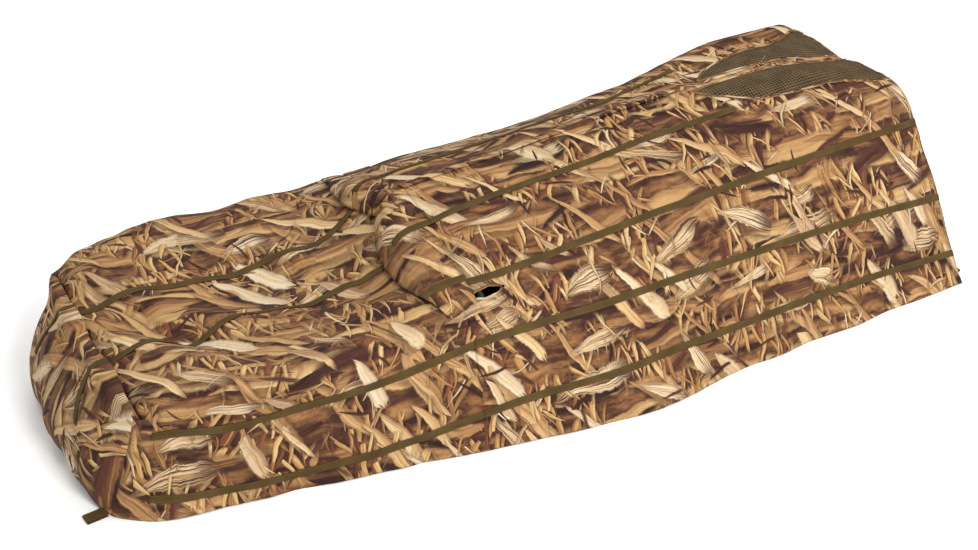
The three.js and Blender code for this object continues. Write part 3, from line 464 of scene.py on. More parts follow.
# ---------- materials ----------
class Graph:
    """Short calls for building a node tree."""

    def __init__(self, tree):
        self.tree = tree

    def node(self, kind, inputs=None, **settings):
        made = self.tree.nodes.new(kind)
        for key, value in settings.items():
            setattr(made, key, value)
        for key, value in (inputs or {}).items():
            self.put(made.inputs[key], value)
        return made

    def put(self, socket, value):
        if isinstance(value, bpy.types.NodeSocket):
            self.tree.links.new(value, socket)
        else:
            socket.default_value = value

    def math(self, operation, a, b=0.0):
        return self.node("ShaderNodeMath", {0: a, 1: b}, operation=operation).outputs[0]

    def add(self, a, b):
        return self.math("ADD", a, b)

    def sub(self, a, b):
        return self.math("SUBTRACT", a, b)

    def mul(self, a, b):
        return self.math("MULTIPLY", a, b)

    def div(self, a, b):
        return self.math("DIVIDE", a, b)

    def step(self, value, low, high, out_low=0.0, out_high=1.0):
        inputs = {"Value": value, "From Min": low, "From Max": high, "To Min": out_low, "To Max": out_high}
        return self.node("ShaderNodeMapRange", inputs, interpolation_type="SMOOTHSTEP").outputs[0]

    def split(self, vector):
        made = self.node("ShaderNodeSeparateXYZ", {0: vector})
        return made.outputs[0], made.outputs[1], made.outputs[2]

    def join(self, x, y=0.0, z=0.0):
        return self.node("ShaderNodeCombineXYZ", {0: x, 1: y, 2: z}).outputs[0]

    def noise(self, vector, scale, detail=2.0, roughness=0.5):
        inputs = {"Vector": vector, "Scale": scale, "Detail": detail, "Roughness": roughness}
        return self.node("ShaderNodeTexNoise", inputs).outputs[0]

    def mix(self, share, a, b):
        made = self.node("ShaderNodeMix", data_type="RGBA")
        self.put(made.inputs[0], share)
        self.put(made.inputs[6], a)
        self.put(made.inputs[7], b)
        return made.outputs[2]

    def ramp(self, value, stops):
        made = self.node("ShaderNodeValToRGB", {0: value})
        elements = made.color_ramp.elements
        while len(elements) < len(stops):
            elements.new(0.5)
        for element, (place, color) in zip(elements, stops):
            element.position = place
            element.color = rgba(color)
        return made.outputs[0]

    def rotated(self, x, y, cosine, sine):
        along = self.add(self.mul(x, cosine), self.mul(y, sine))
        across = self.sub(self.mul(y, cosine), self.mul(x, sine))
        return along, across

    def uv(self):
        return self.node("ShaderNodeUVMap", uv_map="UVMap").outputs[0]

    def position(self):
        """The place on the piece itself, which stays put when the piece moves."""
        return self.node("ShaderNodeTexCoord").outputs["Object"]


def rgba(color):
    """An sRGB colour in 0-255 as the linear colour that nodes use."""
    return tuple(((c / 255 + 0.055) / 1.055) ** 2.4 if c > 10 else c / 255 / 12.92 for c in color) + (1.0,)


def blade_group():
    """Scattered tapering blades: each cell of a stretched pattern holds one, turned its own way."""
    tree = bpy.data.node_groups.new("scattered_blades", "ShaderNodeTree")
    g = Graph(tree)
    asked = ("Vector", "Shift", "Angle", "Spread", "Cell Length", "Cell Width", "Half Length", "Half Width",
             "Bend", "Share", "Fibres", "Softness", "Fray")
    for name in asked:
        kind = "NodeSocketVector" if name in ("Vector", "Shift") else "NodeSocketFloat"
        tree.interface.new_socket(name, in_out="INPUT", socket_type=kind)
    for name in ("Mask", "Shadow", "Across", "Along", "Random", "Streaks"):
        tree.interface.new_socket(name, in_out="OUTPUT", socket_type="NodeSocketFloat")
    source = g.node("NodeGroupInput").outputs
    place = g.node("ShaderNodeVectorMath", {0: source["Vector"], 1: source["Shift"]}, operation="ADD")
    x, y, _ = g.split(place.outputs[0])
    cosine, sine = g.math("COSINE", source["Angle"]), g.math("SINE", source["Angle"])
    along, across = g.rotated(x, y, cosine, sine)
    scaled = g.join(g.div(along, source["Cell Length"]), g.div(across, source["Cell Width"]))
    cells = g.node("ShaderNodeTexVoronoi", {"Vector": scaled, "Scale": 1.0, "Randomness": 1.0},
                   voronoi_dimensions="2D", feature="F1")
    cell_x, cell_y, _ = g.split(cells.outputs["Position"])
    here_x, here_y, _ = g.split(scaled)
    dx = g.mul(g.sub(here_x, cell_x), source["Cell Length"])
    dy = g.mul(g.sub(here_y, cell_y), source["Cell Width"])
    chance = g.node("ShaderNodeSeparateColor", {0: cells.outputs["Color"]}).outputs
    turn = g.mul(g.sub(chance[0], 0.5), source["Spread"])
    lx, ly = g.rotated(dx, dy, g.math("COSINE", turn), g.math("SINE", turn))
    bend = g.mul(g.mul(g.sub(chance[1], 0.5), source["Bend"]), g.mul(lx, lx))
    ly = g.add(ly, bend)
    half_length = g.mul(source["Half Length"], g.add(0.6, g.mul(chance[2], 0.6)))
    share = g.div(lx, half_length)
    taper = g.math("SQRT", g.math("MAXIMUM", g.sub(1.0, g.mul(share, share)), 0.0001))
    skewed = g.mul(taper, g.add(0.8, g.mul(share, 0.35)))
    ragged = g.noise(g.join(g.mul(lx, 60.0), g.mul(chance[2], 30.0)), 1.0, 3.0, 0.7)
    half_width = g.mul(g.mul(source["Half Width"], g.add(0.5, g.mul(chance[1], 0.9))), skewed)
    half_width = g.mul(half_width, g.add(0.62, g.mul(ragged, 0.76)))
    v = g.div(ly, g.math("MAXIMUM", half_width, 0.0004))
    inside = g.step(g.math("ABSOLUTE", v), 1.0, g.sub(1.0, source["Softness"]))
    streak_place = g.join(g.mul(lx, 7.0), g.mul(v, source["Fibres"]), g.mul(chance[2], 40.0))
    streaks = g.step(g.noise(streak_place, 1.0, 4.0, 0.62), 0.34, 0.66)
    frayed = g.add(g.math("ABSOLUTE", share), g.mul(g.sub(streaks, 0.5), source["Fray"]))
    within = g.step(frayed, 1.0, 0.88)
    kept = g.math("LESS_THAN", g.math("FRACT", g.mul(chance[0], 7.31)), source["Share"])
    shadow = g.step(g.math("ABSOLUTE", g.add(v, 0.45)), 2.1, 0.9)
    out = g.node("NodeGroupOutput")
    g.put(out.inputs["Mask"], g.mul(g.mul(inside, within), kept))
    g.put(out.inputs["Shadow"], g.mul(g.mul(shadow, within), kept))
    g.put(out.inputs["Across"], v)
    g.put(out.inputs["Along"], share)
    g.put(out.inputs["Random"], g.math("FRACT", g.mul(chance[2], 5.17)))
    g.put(out.inputs["Streaks"], streaks)
    return tree


BLADES = blade_group()
DYE_TINT = (0.80, 0.755, 0.70)


def printed(stops):
    """The dyes are darker and warmer than the plants they picture."""
    return tuple((place, tuple(c * t for c, t in zip(color, DYE_TINT))) for place, color in stops)


GROUND = printed(
    ((0.30, (48, 30, 26)), (0.44, (92, 60, 46)), (0.56, (156, 114, 76)), (0.74, (208, 168, 112))))
GOLD = printed(
    ((0.0, (124, 84, 60)), (0.25, (176, 134, 92)), (0.6, (212, 176, 124)), (1.0, (238, 214, 164))))
LEAF = printed(
    ((0.0, (156, 120, 96)), (0.3, (206, 176, 140)), (0.65, (238, 220, 186)), (1.0, (255, 250, 232))))
STALK = printed(
    ((0.0, (76, 46, 36)), (0.35, (132, 90, 62)), (0.7, (188, 146, 98)), (1.0, (226, 192, 142))))
RUSSET = printed(
    ((0.0, (60, 36, 38)), (0.5, (112, 68, 54)), (1.0, (166, 110, 72))))
SHRED = printed(
    ((0.0, (122, 80, 56)), (0.35, (192, 146, 94)), (0.7, (230, 196, 136)), (1.0, (255, 236, 188))))
CANE = printed(
    ((0.0, (134, 94, 68)), (0.35, (200, 160, 112)), (0.7, (236, 206, 156)), (1.0, (255, 242, 208))))
SHADE = printed(
    ((0.0, (38, 24, 22)), (0.5, (72, 44, 38)), (1.0, (108, 70, 56))))
HUSK = printed(
    ((0.0, (112, 80, 66)), (0.3, (184, 150, 112)), (0.6, (236, 216, 176)), (1.0, (255, 252, 236))))
DARK_EDGE, DEEP_SHADE, VEIN, TIP = (color for _, color in printed(
    ((0, (84, 46, 40)), (0, (44, 26, 30)), (0, (88, 60, 62)), (0, (70, 42, 42)))))

# angle in degrees, spread, cell length, cell width, half length, half width, bend, share kept, fibres,
# colours, kind; a "cluster" is left out of half the cloth, a "gap" only darkens what lies below it
CAMO_LAYERS = (
    (3, 12, 0.34, 0.062, 0.200, 0.028, 0.3, 0.92, 2.4, GOLD, "stalk"),
    (-5, 12, 0.30, 0.070, 0.160, 0.021, 0.5, 0.70, 3.0, STALK, "stalk"),
    (6, 40, 0.12, 0.060, 0.060, 0.020, 3.0, 0.62, 2.0, SHADE, "gap"),
    (4, 34, 0.34, 0.170, 0.120, 0.042, 1.2, 0.46, 2.0, SHADE, "gap"),
    (82, 50, 0.060, 0.040, 0.050, 0.0100, 6.0, 0.80, 3.0, RUSSET, "cluster"),
    (95, 60, 0.062, 0.038, 0.050, 0.0074, 7.0, 0.85, 2.6, SHRED, "cluster"),
    (-60, 20, 0.320, 0.120, 0.150, 0.0200, 0.8, 0.85, 3.0, CANE, "stalk"),
    (74, 56, 0.072, 0.044, 0.054, 0.0070, 8.0, 0.80, 2.6, SHRED, "cluster"),
    (8, 28, 0.22, 0.100, 0.085, 0.026, 1.6, 0.36, 7.0, HUSK, "husk"),
    (-54, 26, 0.240, 0.130, 0.100, 0.0130, 1.2, 0.52, 4.0, CANE, "stalk"),
    (-58, 24, 0.25, 0.120, 0.084, 0.0230, 1.4, 0.62, 3.0, LEAF, "stalk"),
    (-48, 40, 0.26, 0.130, 0.074, 0.024, 2.4, 0.46, 7.0, HUSK, "husk"),
    (100, 90, 0.064, 0.044, 0.044, 0.0046, 10.0, 0.85, 2.0, SHRED, "cluster"),
    (70, 120, 0.090, 0.060, 0.046, 0.0036, 12.0, 0.55, 2.0, HUSK, "cluster"),
    (-40, 130, 0.100, 0.070, 0.034, 0.0080, 5.0, 0.40, 2.0, SHADE, "gap"),
)


def camo_color(g, place):
    """Dry stalks, shreds and husks, laid layer over layer; returns the printed colour."""
    warp = g.node("ShaderNodeTexNoise", {"Vector": place, "Scale": 7.0, "Detail": 2.0})
    middle = (0.5, 0.5, 0.5)
    push = g.node("ShaderNodeVectorMath", {0: warp.outputs["Color"], 1: middle}, operation="SUBTRACT")
    push = g.node("ShaderNodeVectorMath", {0: push.outputs[0], "Scale": 0.05}, operation="SCALE")
    place = g.node("ShaderNodeVectorMath", {0: place, 1: push.outputs[0]}, operation="ADD").outputs[0]
    x, y, _ = g.split(place)
    blotch = g.noise(g.join(g.mul(x, 9.0), g.mul(y, 26.0)), 1.0, 4.0, 0.65)
    color = g.ramp(blotch, GROUND)
    patches = g.step(g.noise(place, 8.5, 1.0), 0.44, 0.54)
    rng = random.Random(29)
    for angle, spread, cell_l, cell_w, half_l, half_w, bend, share, fibres, colors, kind in CAMO_LAYERS:
        layer = g.node("ShaderNodeGroup", node_tree=BLADES)
        settings = {
            "Vector": place, "Shift": (rng.uniform(1, 9), rng.uniform(1, 9), 0.0),
            "Angle": math.radians(angle), "Spread": math.radians(spread), "Cell Length": cell_l,
            "Cell Width": cell_w, "Half Length": half_l, "Half Width": half_w, "Bend": bend, "Share": share,
            "Fibres": fibres, "Softness": 0.8 if kind == "gap" else 0.3,
            "Fray": {"husk": 0.9, "stalk": 0.35, "cluster": 0.5, "gap": 0.4}[kind],
        }
        for key, value in settings.items():
            g.put(layer.inputs[key], value)
        out = layer.outputs
        mask, shadow, streaks = out["Mask"], out["Shadow"], out["Streaks"]
        if kind == "cluster":
            mask, shadow = g.mul(mask, patches), g.mul(shadow, patches)
        if kind != "gap":
            color = g.mix(g.mul(shadow, 0.42), color, rgba(DEEP_SHADE))
        if kind == "husk":
            body = g.ramp(g.add(g.mul(out["Random"], 0.25), g.mul(streaks, 0.75)), colors)
            body = g.mix(g.mul(g.step(streaks, 0.30, 0.10), 0.9), body, rgba(VEIN))
            body = g.mix(g.step(out["Along"], 0.25, 1.0, 0.0, 0.85), body, rgba(TIP))
        else:
            tone = g.add(g.mul(out["Random"], 0.58), g.mul(streaks, 0.42))
            body = g.ramp(g.sub(tone, g.mul(out["Across"], 0.14)), colors)
            edge = g.step(g.math("ABSOLUTE", g.add(out["Across"], 0.15)), 0.5, 1.05, 0.0, 0.5)
            body = g.mix(edge, body, rgba(DARK_EDGE))
        color = g.mix(mask, color, body)
    speck = g.noise(place, 120.0, 2.0, 0.6)
    return g.mix(g.step(speck, 0.55, 0.75, 0.0, 0.22), color, rgba(DARK_EDGE))


def weave_height(g, place, pitch):
    """Plain weave: two sets of threads crossing, as a height from 0 to 1."""
    x, y, _ = g.split(place)
    turn = 2 * math.pi / pitch
    warp = g.math("SINE", g.mul(x, turn))
    weft = g.math("SINE", g.mul(y, turn))
    return g.add(0.5, g.mul(g.mul(warp, weft), 0.5))


def new_material(name):
    made = bpy.data.materials.new(name)
    made.use_nodes = True
    made.node_tree.nodes.clear()
    return made, Graph(made.node_tree)


def shader(g, color, roughness, height=None, bump=0.3, distance=0.0006):
    surface = g.node("ShaderNodeBsdfPrincipled", {"Base Color": color, "Roughness": roughness})
    if height is not None:
        relief = g.node("ShaderNodeBump", {"Strength": bump, "Distance": distance, "Height": height})
        g.put(surface.inputs["Normal"], relief.outputs[0])
    return surface


def output(g, surface):
    g.node("ShaderNodeOutputMaterial", {"Surface": surface})


def camo_material():
    made, g = new_material("camo_polyester")
    place = g.uv()
    color = camo_color(g, place)
    height = g.add(weave_height(g, place, 0.0016), g.mul(g.noise(place, 60.0, 3.0), 1.5))
    roughness = g.step(g.noise(place, 25.0, 3.0), 0.3, 0.7, 0.72, 0.88)
    surface = shader(g, color, roughness, height, 0.25, 0.0004)
    surface.inputs["Specular IOR Level"].default_value = 0.14
    output(g, surface.outputs[0])
    return made


def coated_material(name, dark, light, pitch=0.0014, roughness=(0.55, 0.75), flat=True):
    """Plain coated cloth with creases: the lining, the floor cloth and the pad cover."""
    made, g = new_material(name)
    place = g.uv() if flat else g.position()
    tone = g.noise(place, 9.0, 4.0, 0.6)
    color = g.mix(g.step(tone, 0.3, 0.7), rgba(dark), rgba(light))
    threads = weave_height(g, place, pitch)
    color = g.mix(g.mul(threads, 0.25), color, rgba(light))
    height = g.add(threads, g.mul(g.noise(place, 45.0, 4.0), 2.0))
    surface = shader(g, color, g.step(tone, 0.3, 0.7, *roughness), height, 0.3, 0.0004)
    output(g, surface.outputs[0])
    return made


def webbing_material():
    """Olive webbing: u runs along the strap, v across it, in metres."""
    made, g = new_material("olive_webbing")
    place = g.uv()
    x, y, _ = g.split(place)
    ribs = g.math("SINE", g.add(g.mul(x, 2 * math.pi / 0.0021), g.mul(g.math("SINE", g.mul(y, 2600.0)), 1.2)))
    tone = g.noise(place, 14.0, 3.0)
    color = g.mix(g.step(tone, 0.3, 0.7), rgba((68, 53, 28)), rgba((86, 69, 38)))
    color = g.mix(g.step(ribs, -1.0, 1.0, 0.0, 0.25), color, rgba((42, 32, 16)))
    edge = g.math("ABSOLUTE", y)
    stitch_row = g.mul(g.step(edge, 0.0048, 0.0052), g.step(edge, 0.0062, 0.0058))
    dash = g.step(g.math("SINE", g.mul(x, 2 * math.pi / 0.0036)), -0.3, 0.1)
    stitches = g.mul(stitch_row, dash)
    color = g.mix(g.mul(stitches, 0.5), color, rgba((96, 80, 48)))
    height = g.add(g.mul(ribs, 0.5), g.mul(stitches, 0.8))
    surface = shader(g, color, g.step(tone, 0.3, 0.7, 0.74, 0.88), height, 0.5, 0.0004)
    surface.inputs["Specular IOR Level"].default_value = 0.1
    output(g, surface.outputs[0])
    return made


NET_PITCH = 0.0078              # metres


def netting_material():
    """Fine see-through net: round holes in rows, seen as a dark olive haze."""
    made, g = new_material("window_net")
    place = g.uv()
    x, y, _ = g.split(place)
    turn = math.pi / NET_PITCH
    wave = g.mul(g.math("SINE", g.mul(x, turn)), g.math("SINE", g.mul(y, turn)))
    holes = g.step(g.math("ABSOLUTE", wave), 0.30, 0.52)
    tone = g.noise(place, 22.0, 3.0)
    color = g.mix(g.step(tone, 0.3, 0.7), rgba((82, 67, 45)), rgba((100, 83, 58)))
    surface = shader(g, color, g.step(tone, 0.3, 0.7, 0.6, 0.75), holes, 0.4, 0.0003)
    surface.inputs["Specular IOR Level"].default_value = 0.1
    clear = g.node("ShaderNodeBsdfTransparent", {"Color": (1, 1, 1, 1)})
    mixed = g.node("ShaderNodeMixShader", {0: g.mul(holes, 0.85), 1: surface.outputs[0], 2: clear.outputs[0]})
    output(g, mixed.outputs[0])
    return made


def paint_material():
    """Dark olive powder coat, with a fine orange peel and rubbed spots."""
    made, g = new_material("powder_coat")
    place = g.position()
    worn = g.noise(place, 34.0, 5.0, 0.7)
    color = g.mix(g.step(worn, 0.62, 0.78), rgba((44, 45, 36)), rgba((82, 80, 68)))
    height = g.noise(place, 900.0, 2.0)
    surface = shader(g, color, g.step(worn, 0.4, 0.75, 0.62, 0.78), height, 0.15, 0.0003)
    surface.inputs["Specular IOR Level"].default_value = 0.25
    output(g, surface.outputs[0])
    return made


def steel_material():
    """Zinc-plated steel with drawn scratches and dull spots."""
    made, g = new_material("zinc_plate")
    place = g.position()
    x, y, z = g.split(place)
    drawn = g.noise(g.join(g.mul(x, 40.0), y, g.mul(z, 40.0)), 12.0, 3.0)
    dull = g.noise(place, 60.0, 4.0)
    color = g.mix(g.step(dull, 0.35, 0.7), rgba((176, 176, 170)), rgba((140, 140, 134)))
    surface = shader(g, color, g.step(dull, 0.3, 0.7, 0.28, 0.46), drawn, 0.2, 0.0002)
    surface.inputs["Metallic"].default_value = 0.9
    output(g, surface.outputs[0])
    return made


CAMO = camo_material()
LINING = coated_material("dark_lining", (40, 33, 26), (58, 49, 38))
GROUND_CLOTH = coated_material("ground_cloth", (54, 47, 33), (78, 69, 48), 0.0018)
PAD_CLOTH = coated_material("pad_cloth", (64, 62, 42), (88, 84, 58), 0.0020, (0.75, 0.9), flat=False)
WEBBING = webbing_material()
NET = netting_material()
PAINT = paint_material()
STEEL = steel_material()

# ---------- the fabric shell ----------
_sections = {}


def section(table, x):
    key = (id(table), round(float(x), 3))
    if key not in _sections:
        made = Section(table, x)
        made.marks = [made.nearest(corner) for corner in made.corners]
        if table is TORSO_SECTIONS:
            for corner, (stations, shifts) in STRAP_SHIFTS.items():
                made.marks[corner] += np.interp(x, stations, shifts)
        _sections[key] = made
    return _sections[key]


def rows(table, xs, picks, side):
    """A grid of skin points, its girths and its sections; picks(section) gives one row's girths."""
    sections = [section(table, x) for x in xs]
    girths = np.array([picks(s) for s in sections], float)
    grid = np.empty((*girths.shape, 3))
    for i, s in enumerate(sections):
        y, z = s.at(girths[i])
        grid[i] = np.stack([lean_x(s.x, z), side * y, z], axis=1)
    return grid, girths, sections


FAR_CLOTH = 3400                # the far side is cut from another place on the printed cloth


def cloth_uv(grid, girths, side):
    v = girths if side < 0 else FAR_CLOTH - girths
    return np.stack([grid[..., 0], v], axis=2)


SHOULDER_PUFF = {-1: 4, 1: 36}  # the loose cloth beside each window
PUFF_START = {-1: (540, 720), 1: (300, 800)}
PUFF_END = (1012, 945)
PUFF_MIDDLE_Y = 185
PUFF_HALF_WIDTH = 55
FAR_RIPPLES = {-1: 0, 1: 700}   # the two sides ripple differently
FAR_BAG_RIPPLES = {-1: 0, 1: 500}
RIDGE_CALM = 70                 # the doors ripple alike this close to the centre line
SEAM_DEPTH = 1.8                # how far the webbing's stitching pulls the cloth in
SEAM_WIDTH = 12
BAG_SEAM_DEPTH = 2.2
BAG_SEAM_WIDTH = 13
FLARE_GIRTH = 130               # the hem flares over this girth
BAG_FLARE_GIRTH = 120
BAG_TAUT_RUN = 130              # the bag is as taut as the torso until this far from the split


def cloth_ripple(x, girths):
    return 2.2 * BROAD(x, girths) + 1.1 * DIAGONAL(x, girths) + 0.4 * FINE(x, girths)


def hem_fold(girths):
    """The hem's turned-up edge and its row of stitches."""
    return 0.8 * smoothstep(20, 17, girths) - 0.5 * np.exp(-((girths - 15) / 1.6) ** 2)


def torso_relief(grid, girths, sections, side):
    """Height of the torso's cloth over its sections."""
    x = np.array([s.x for s in sections])[:, None] + FAR_RIPPLES[side]
    height = cloth_ripple(x, girths)
    total = np.array([s.total for s in sections])[:, None]
    apart = smoothstep(0, RIDGE_CALM, total - girths)
    height = apart * height + (1 - apart) * 1.4 * BROAD(grid[..., 0], 0 * girths)
    for corner in (LOWER_STRAP, UPPER_STRAP, SHOULDER, CENTRE_STRAP):
        mark = np.array([s.marks[corner] for s in sections])[:, None]
        height -= SEAM_DEPTH * np.exp(-((girths - mark) / SEAM_WIDTH) ** 2)
    y = np.abs(grid[..., 1])
    puff = smoothstep(*PUFF_START[side], grid[..., 0]) * smoothstep(*PUFF_END, grid[..., 0])
    height += SHOULDER_PUFF[side] * puff * np.exp(-((y - PUFF_MIDDLE_Y) / PUFF_HALF_WIDTH) ** 2)
    near_ground = np.clip(1 - girths / FLARE_GIRTH, 0, 1) ** 2
    height += near_ground * (5 + 4 * BROAD(x * 1.7, girths * 0.2) + 2.5 * DIAGONAL(x, girths * 0.2))
    height += hem_fold(girths)
    return height


def bag_relief(grid, girths, sections, side):
    """Loose cloth between the knee hoop and the foot hoop."""
    x = np.array([s.x for s in sections])[:, None] + FAR_BAG_RIPPLES[side]
    loose = smoothstep(SPLIT_X, SPLIT_X - BAG_TAUT_RUN, x - FAR_BAG_RIPPLES[side])
    height = loose * (4.5 * BROAD(x, girths) + 2.4 * DIAGONAL(x, girths) + 0.9 * FINE(x, girths))
    height += (1 - loose) * torso_relief(grid, girths, sections, side)
    for corner in (LOWER_STRAP, UPPER_STRAP, CENTRE_STRAP):
        mark = np.array([s.marks[corner] for s in sections])[:, None]
        height -= loose * BAG_SEAM_DEPTH * np.exp(-((girths - mark) / BAG_SEAM_WIDTH) ** 2)
    near_ground = np.clip(1 - girths / BAG_FLARE_GIRTH, 0, 1) ** 2
    height += loose * near_ground * (5 + 5 * DIAGONAL(x, girths * 0.2))
    height += loose * hem_fold(girths)
    return height


DOOR_HEAD_X = 1001
TORSO_XS = np.linspace(SPLIT_X, HEAD_TOP_X, 164)
DOOR_XS = np.concatenate([np.linspace(DOOR_FOOT_X, 500, 96), np.linspace(500, 997, 64)[1:], [DOOR_HEAD_X]])
HEM_COLUMNS = np.array([0, 4, 8, 12, 14, 15, 16, 18, 21])
ABOVE_HEM = 30
WALL_RISE = 34                  # the wall reaches past the hinge line beyond the foot of the doors


def wall_girths(s):
    top = s.hinge - GUSSET_BELOW + WALL_RISE * smoothstep(DOOR_FOOT_X + 4, DOOR_FOOT_X - 3, s.x)
    return np.concatenate([HEM_COLUMNS, np.linspace(ABOVE_HEM, top, 36)])


wall_feet = {}
for name, side in SIDES:
    grid, girths, sections = rows(TORSO_SECTIONS, TORSO_XS, wall_girths, side)
    relief = torso_relief(grid, girths, sections, side)
    wall_feet[side] = raised(grid, relief)[:, 0]
    wall = shell(f"{name}_wall_fabric", grid, cloth_uv(grid, girths, side), CAMO, LINING, relief=relief)
    finish_piece(wall, "torso", (f"{name}_wall",))

# Hinge gussets: the strip of the shell over the side rails, between each wall and its door.
GUSSET_COLUMNS = 24
SLIT_END_X = -196
SLIT_MIDDLE = 0.62 * GUSSET_COLUMNS
SLIT_HALF_COLUMNS = 4.6
CUFF_RADIUS = 2.8


def slit_half(i):
    """Half width of the slit at a row, in columns; nothing past its head end."""
    along = (DOOR_XS[i] - DOOR_FOOT_X) / (SLIT_END_X - DOOR_FOOT_X)
    return SLIT_HALF_COLUMNS * math.sin(math.pi * (0.12 + 0.88 * along)) ** 0.6 if along < 1 else 0.0


def in_slit(i, j):
    """The opening left at the foot corner of a door, shaped like a long drop."""
    return abs(j - SLIT_MIDDLE) < slit_half(i)


def skin_point(row, column):
    """A point between two columns of a row."""
    columns = np.arange(len(row))
    return np.array([np.interp(column, columns, row[:, k]) for k in range(3)])


def gusset_girths(s):
    return np.linspace(s.hinge - GUSSET_BELOW, s.hinge + GUSSET_ABOVE, GUSSET_COLUMNS)


for name, side in SIDES:
    grid, girths, sections = rows(TORSO_SECTIONS, DOOR_XS, gusset_girths, side)
    relief = torso_relief(grid, girths, sections, side)
    gusset = shell(f"{name}_gusset_fabric", grid, cloth_uv(grid, girths, side), CAMO, LINING, relief=relief,
                   skip=in_slit)
    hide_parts(f"{name}_hinge_gusset")
    middle = len(DOOR_XS) // 2
    low, high = Vector(grid[middle, 2] * MM), Vector(grid[middle, -3] * MM)
    axis = Vector((RAIL_HEAD - RAIL_FOOT) * np.array((1, side, 1))).normalized()
    across = high - low
    across -= axis * across.dot(axis)
    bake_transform(gusset)
    skin = raised(grid, relief)
    slit_rows = [i for i, x in enumerate(DOOR_XS) if x < SLIT_END_X]
    lips = [[skin_point(skin[i], SLIT_MIDDLE + turn * slit_half(i)) for i in slit_rows] for turn in (1, -1)]
    cuff = merged_object(f"{name}_slit_cuff", [swept(lips[0] + lips[1][::-1], CUFF_RADIUS, 10)], [CAMO])
    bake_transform(cuff)

# ---------- doors with their windows ----------
WINDOW_HEAD_X = 997
WINDOW_CENTRE_Y = 17
WINDOW_TIP_X = {-1: 500, 1: 540}
WINDOW_DEPTH_Y = {-1: 140, 1: 112}
WINDOW_HEAD_Y = {-1: 176, 1: 150}
CENTRE_EDGE_Y = 0.8
OUTER_COLUMNS = 34
NET_COLUMNS = 14
NET_SPAN = slice(OUTER_COLUMNS, OUTER_COLUMNS + NET_COLUMNS + 1)
DOME = 11
COLUMN_SPREAD = 110             # towards the foot the window's columns spread over this girth
COLUMN_SPREAD_RUN = 260
VALANCE_DROP = 26
VALANCE_ROWS = 4
VALANCE_CUT = 6.0               # cloth cut per row of the valance
BINDING_LIFT = 0.8
BINDINGS = ((OUTER_COLUMNS, 3.0), (OUTER_COLUMNS + NET_COLUMNS, 2.6))


def window_edge_y(x, side):
    """Outer edge of the window: a long arc that widens at the head end."""
    tip_x = WINDOW_TIP_X[side]
    t = np.clip((x - tip_x) / (WINDOW_HEAD_X - tip_x), 0, 1)
    bow = WINDOW_DEPTH_Y[side] * math.sin(math.pi / 2 * min(t * 2, 1) ** 0.75)
    return max(WINDOW_CENTRE_Y, bow + (WINDOW_HEAD_Y[side] - bow) * smoothstep(0.62, 1, t))


def door_parts(s, side):
    """Girths of a door row: outer cloth, window span, and the centre binding."""
    tip_x = WINDOW_TIP_X[side]
    inner = s.girth_at_y(WINDOW_CENTRE_Y)
    last = s.girth_at_y(CENTRE_EDGE_Y)
    if s.x >= tip_x:
        edge = s.girth_at_y(window_edge_y(s.x, side))
    else:
        edge = inner - COLUMN_SPREAD * min(1.0, (tip_x - s.x) / COLUMN_SPREAD_RUN)
    outer = np.linspace(s.hinge + GUSSET_ABOVE, edge, OUTER_COLUMNS + 1)
    window = np.linspace(edge, inner, NET_COLUMNS + 1)[1:]
    return np.concatenate([outer, window, np.linspace(inner, last, 4)[1:]])


def dome_over(grid, sections, side):
    """Height of the net's gentle bulge between its bindings."""
    x = np.array([s.x for s in sections])
    along = np.clip((x - WINDOW_TIP_X[side]) / (WINDOW_HEAD_X - WINDOW_TIP_X[side]), 0, 1)
    across = np.linspace(0, 1, grid.shape[1])
    swell = np.sin(math.pi * along)[:, None] ** 0.6 * np.sin(math.pi * across)[None, :]
    return DOME * swell


def head_valance(grid):
    """The grid with rows that turn a door's head edge down outside the head end."""
    extra = []
    for k in range(1, VALANCE_ROWS + 1):
        share = k / VALANCE_ROWS
        turned = grid[-1].copy()
        turned[:, 0] += 5 * min(1, share * 2)
        turned[:, 2] -= VALANCE_DROP * share
        extra.append(turned)
    return np.concatenate([grid, np.array(extra)])


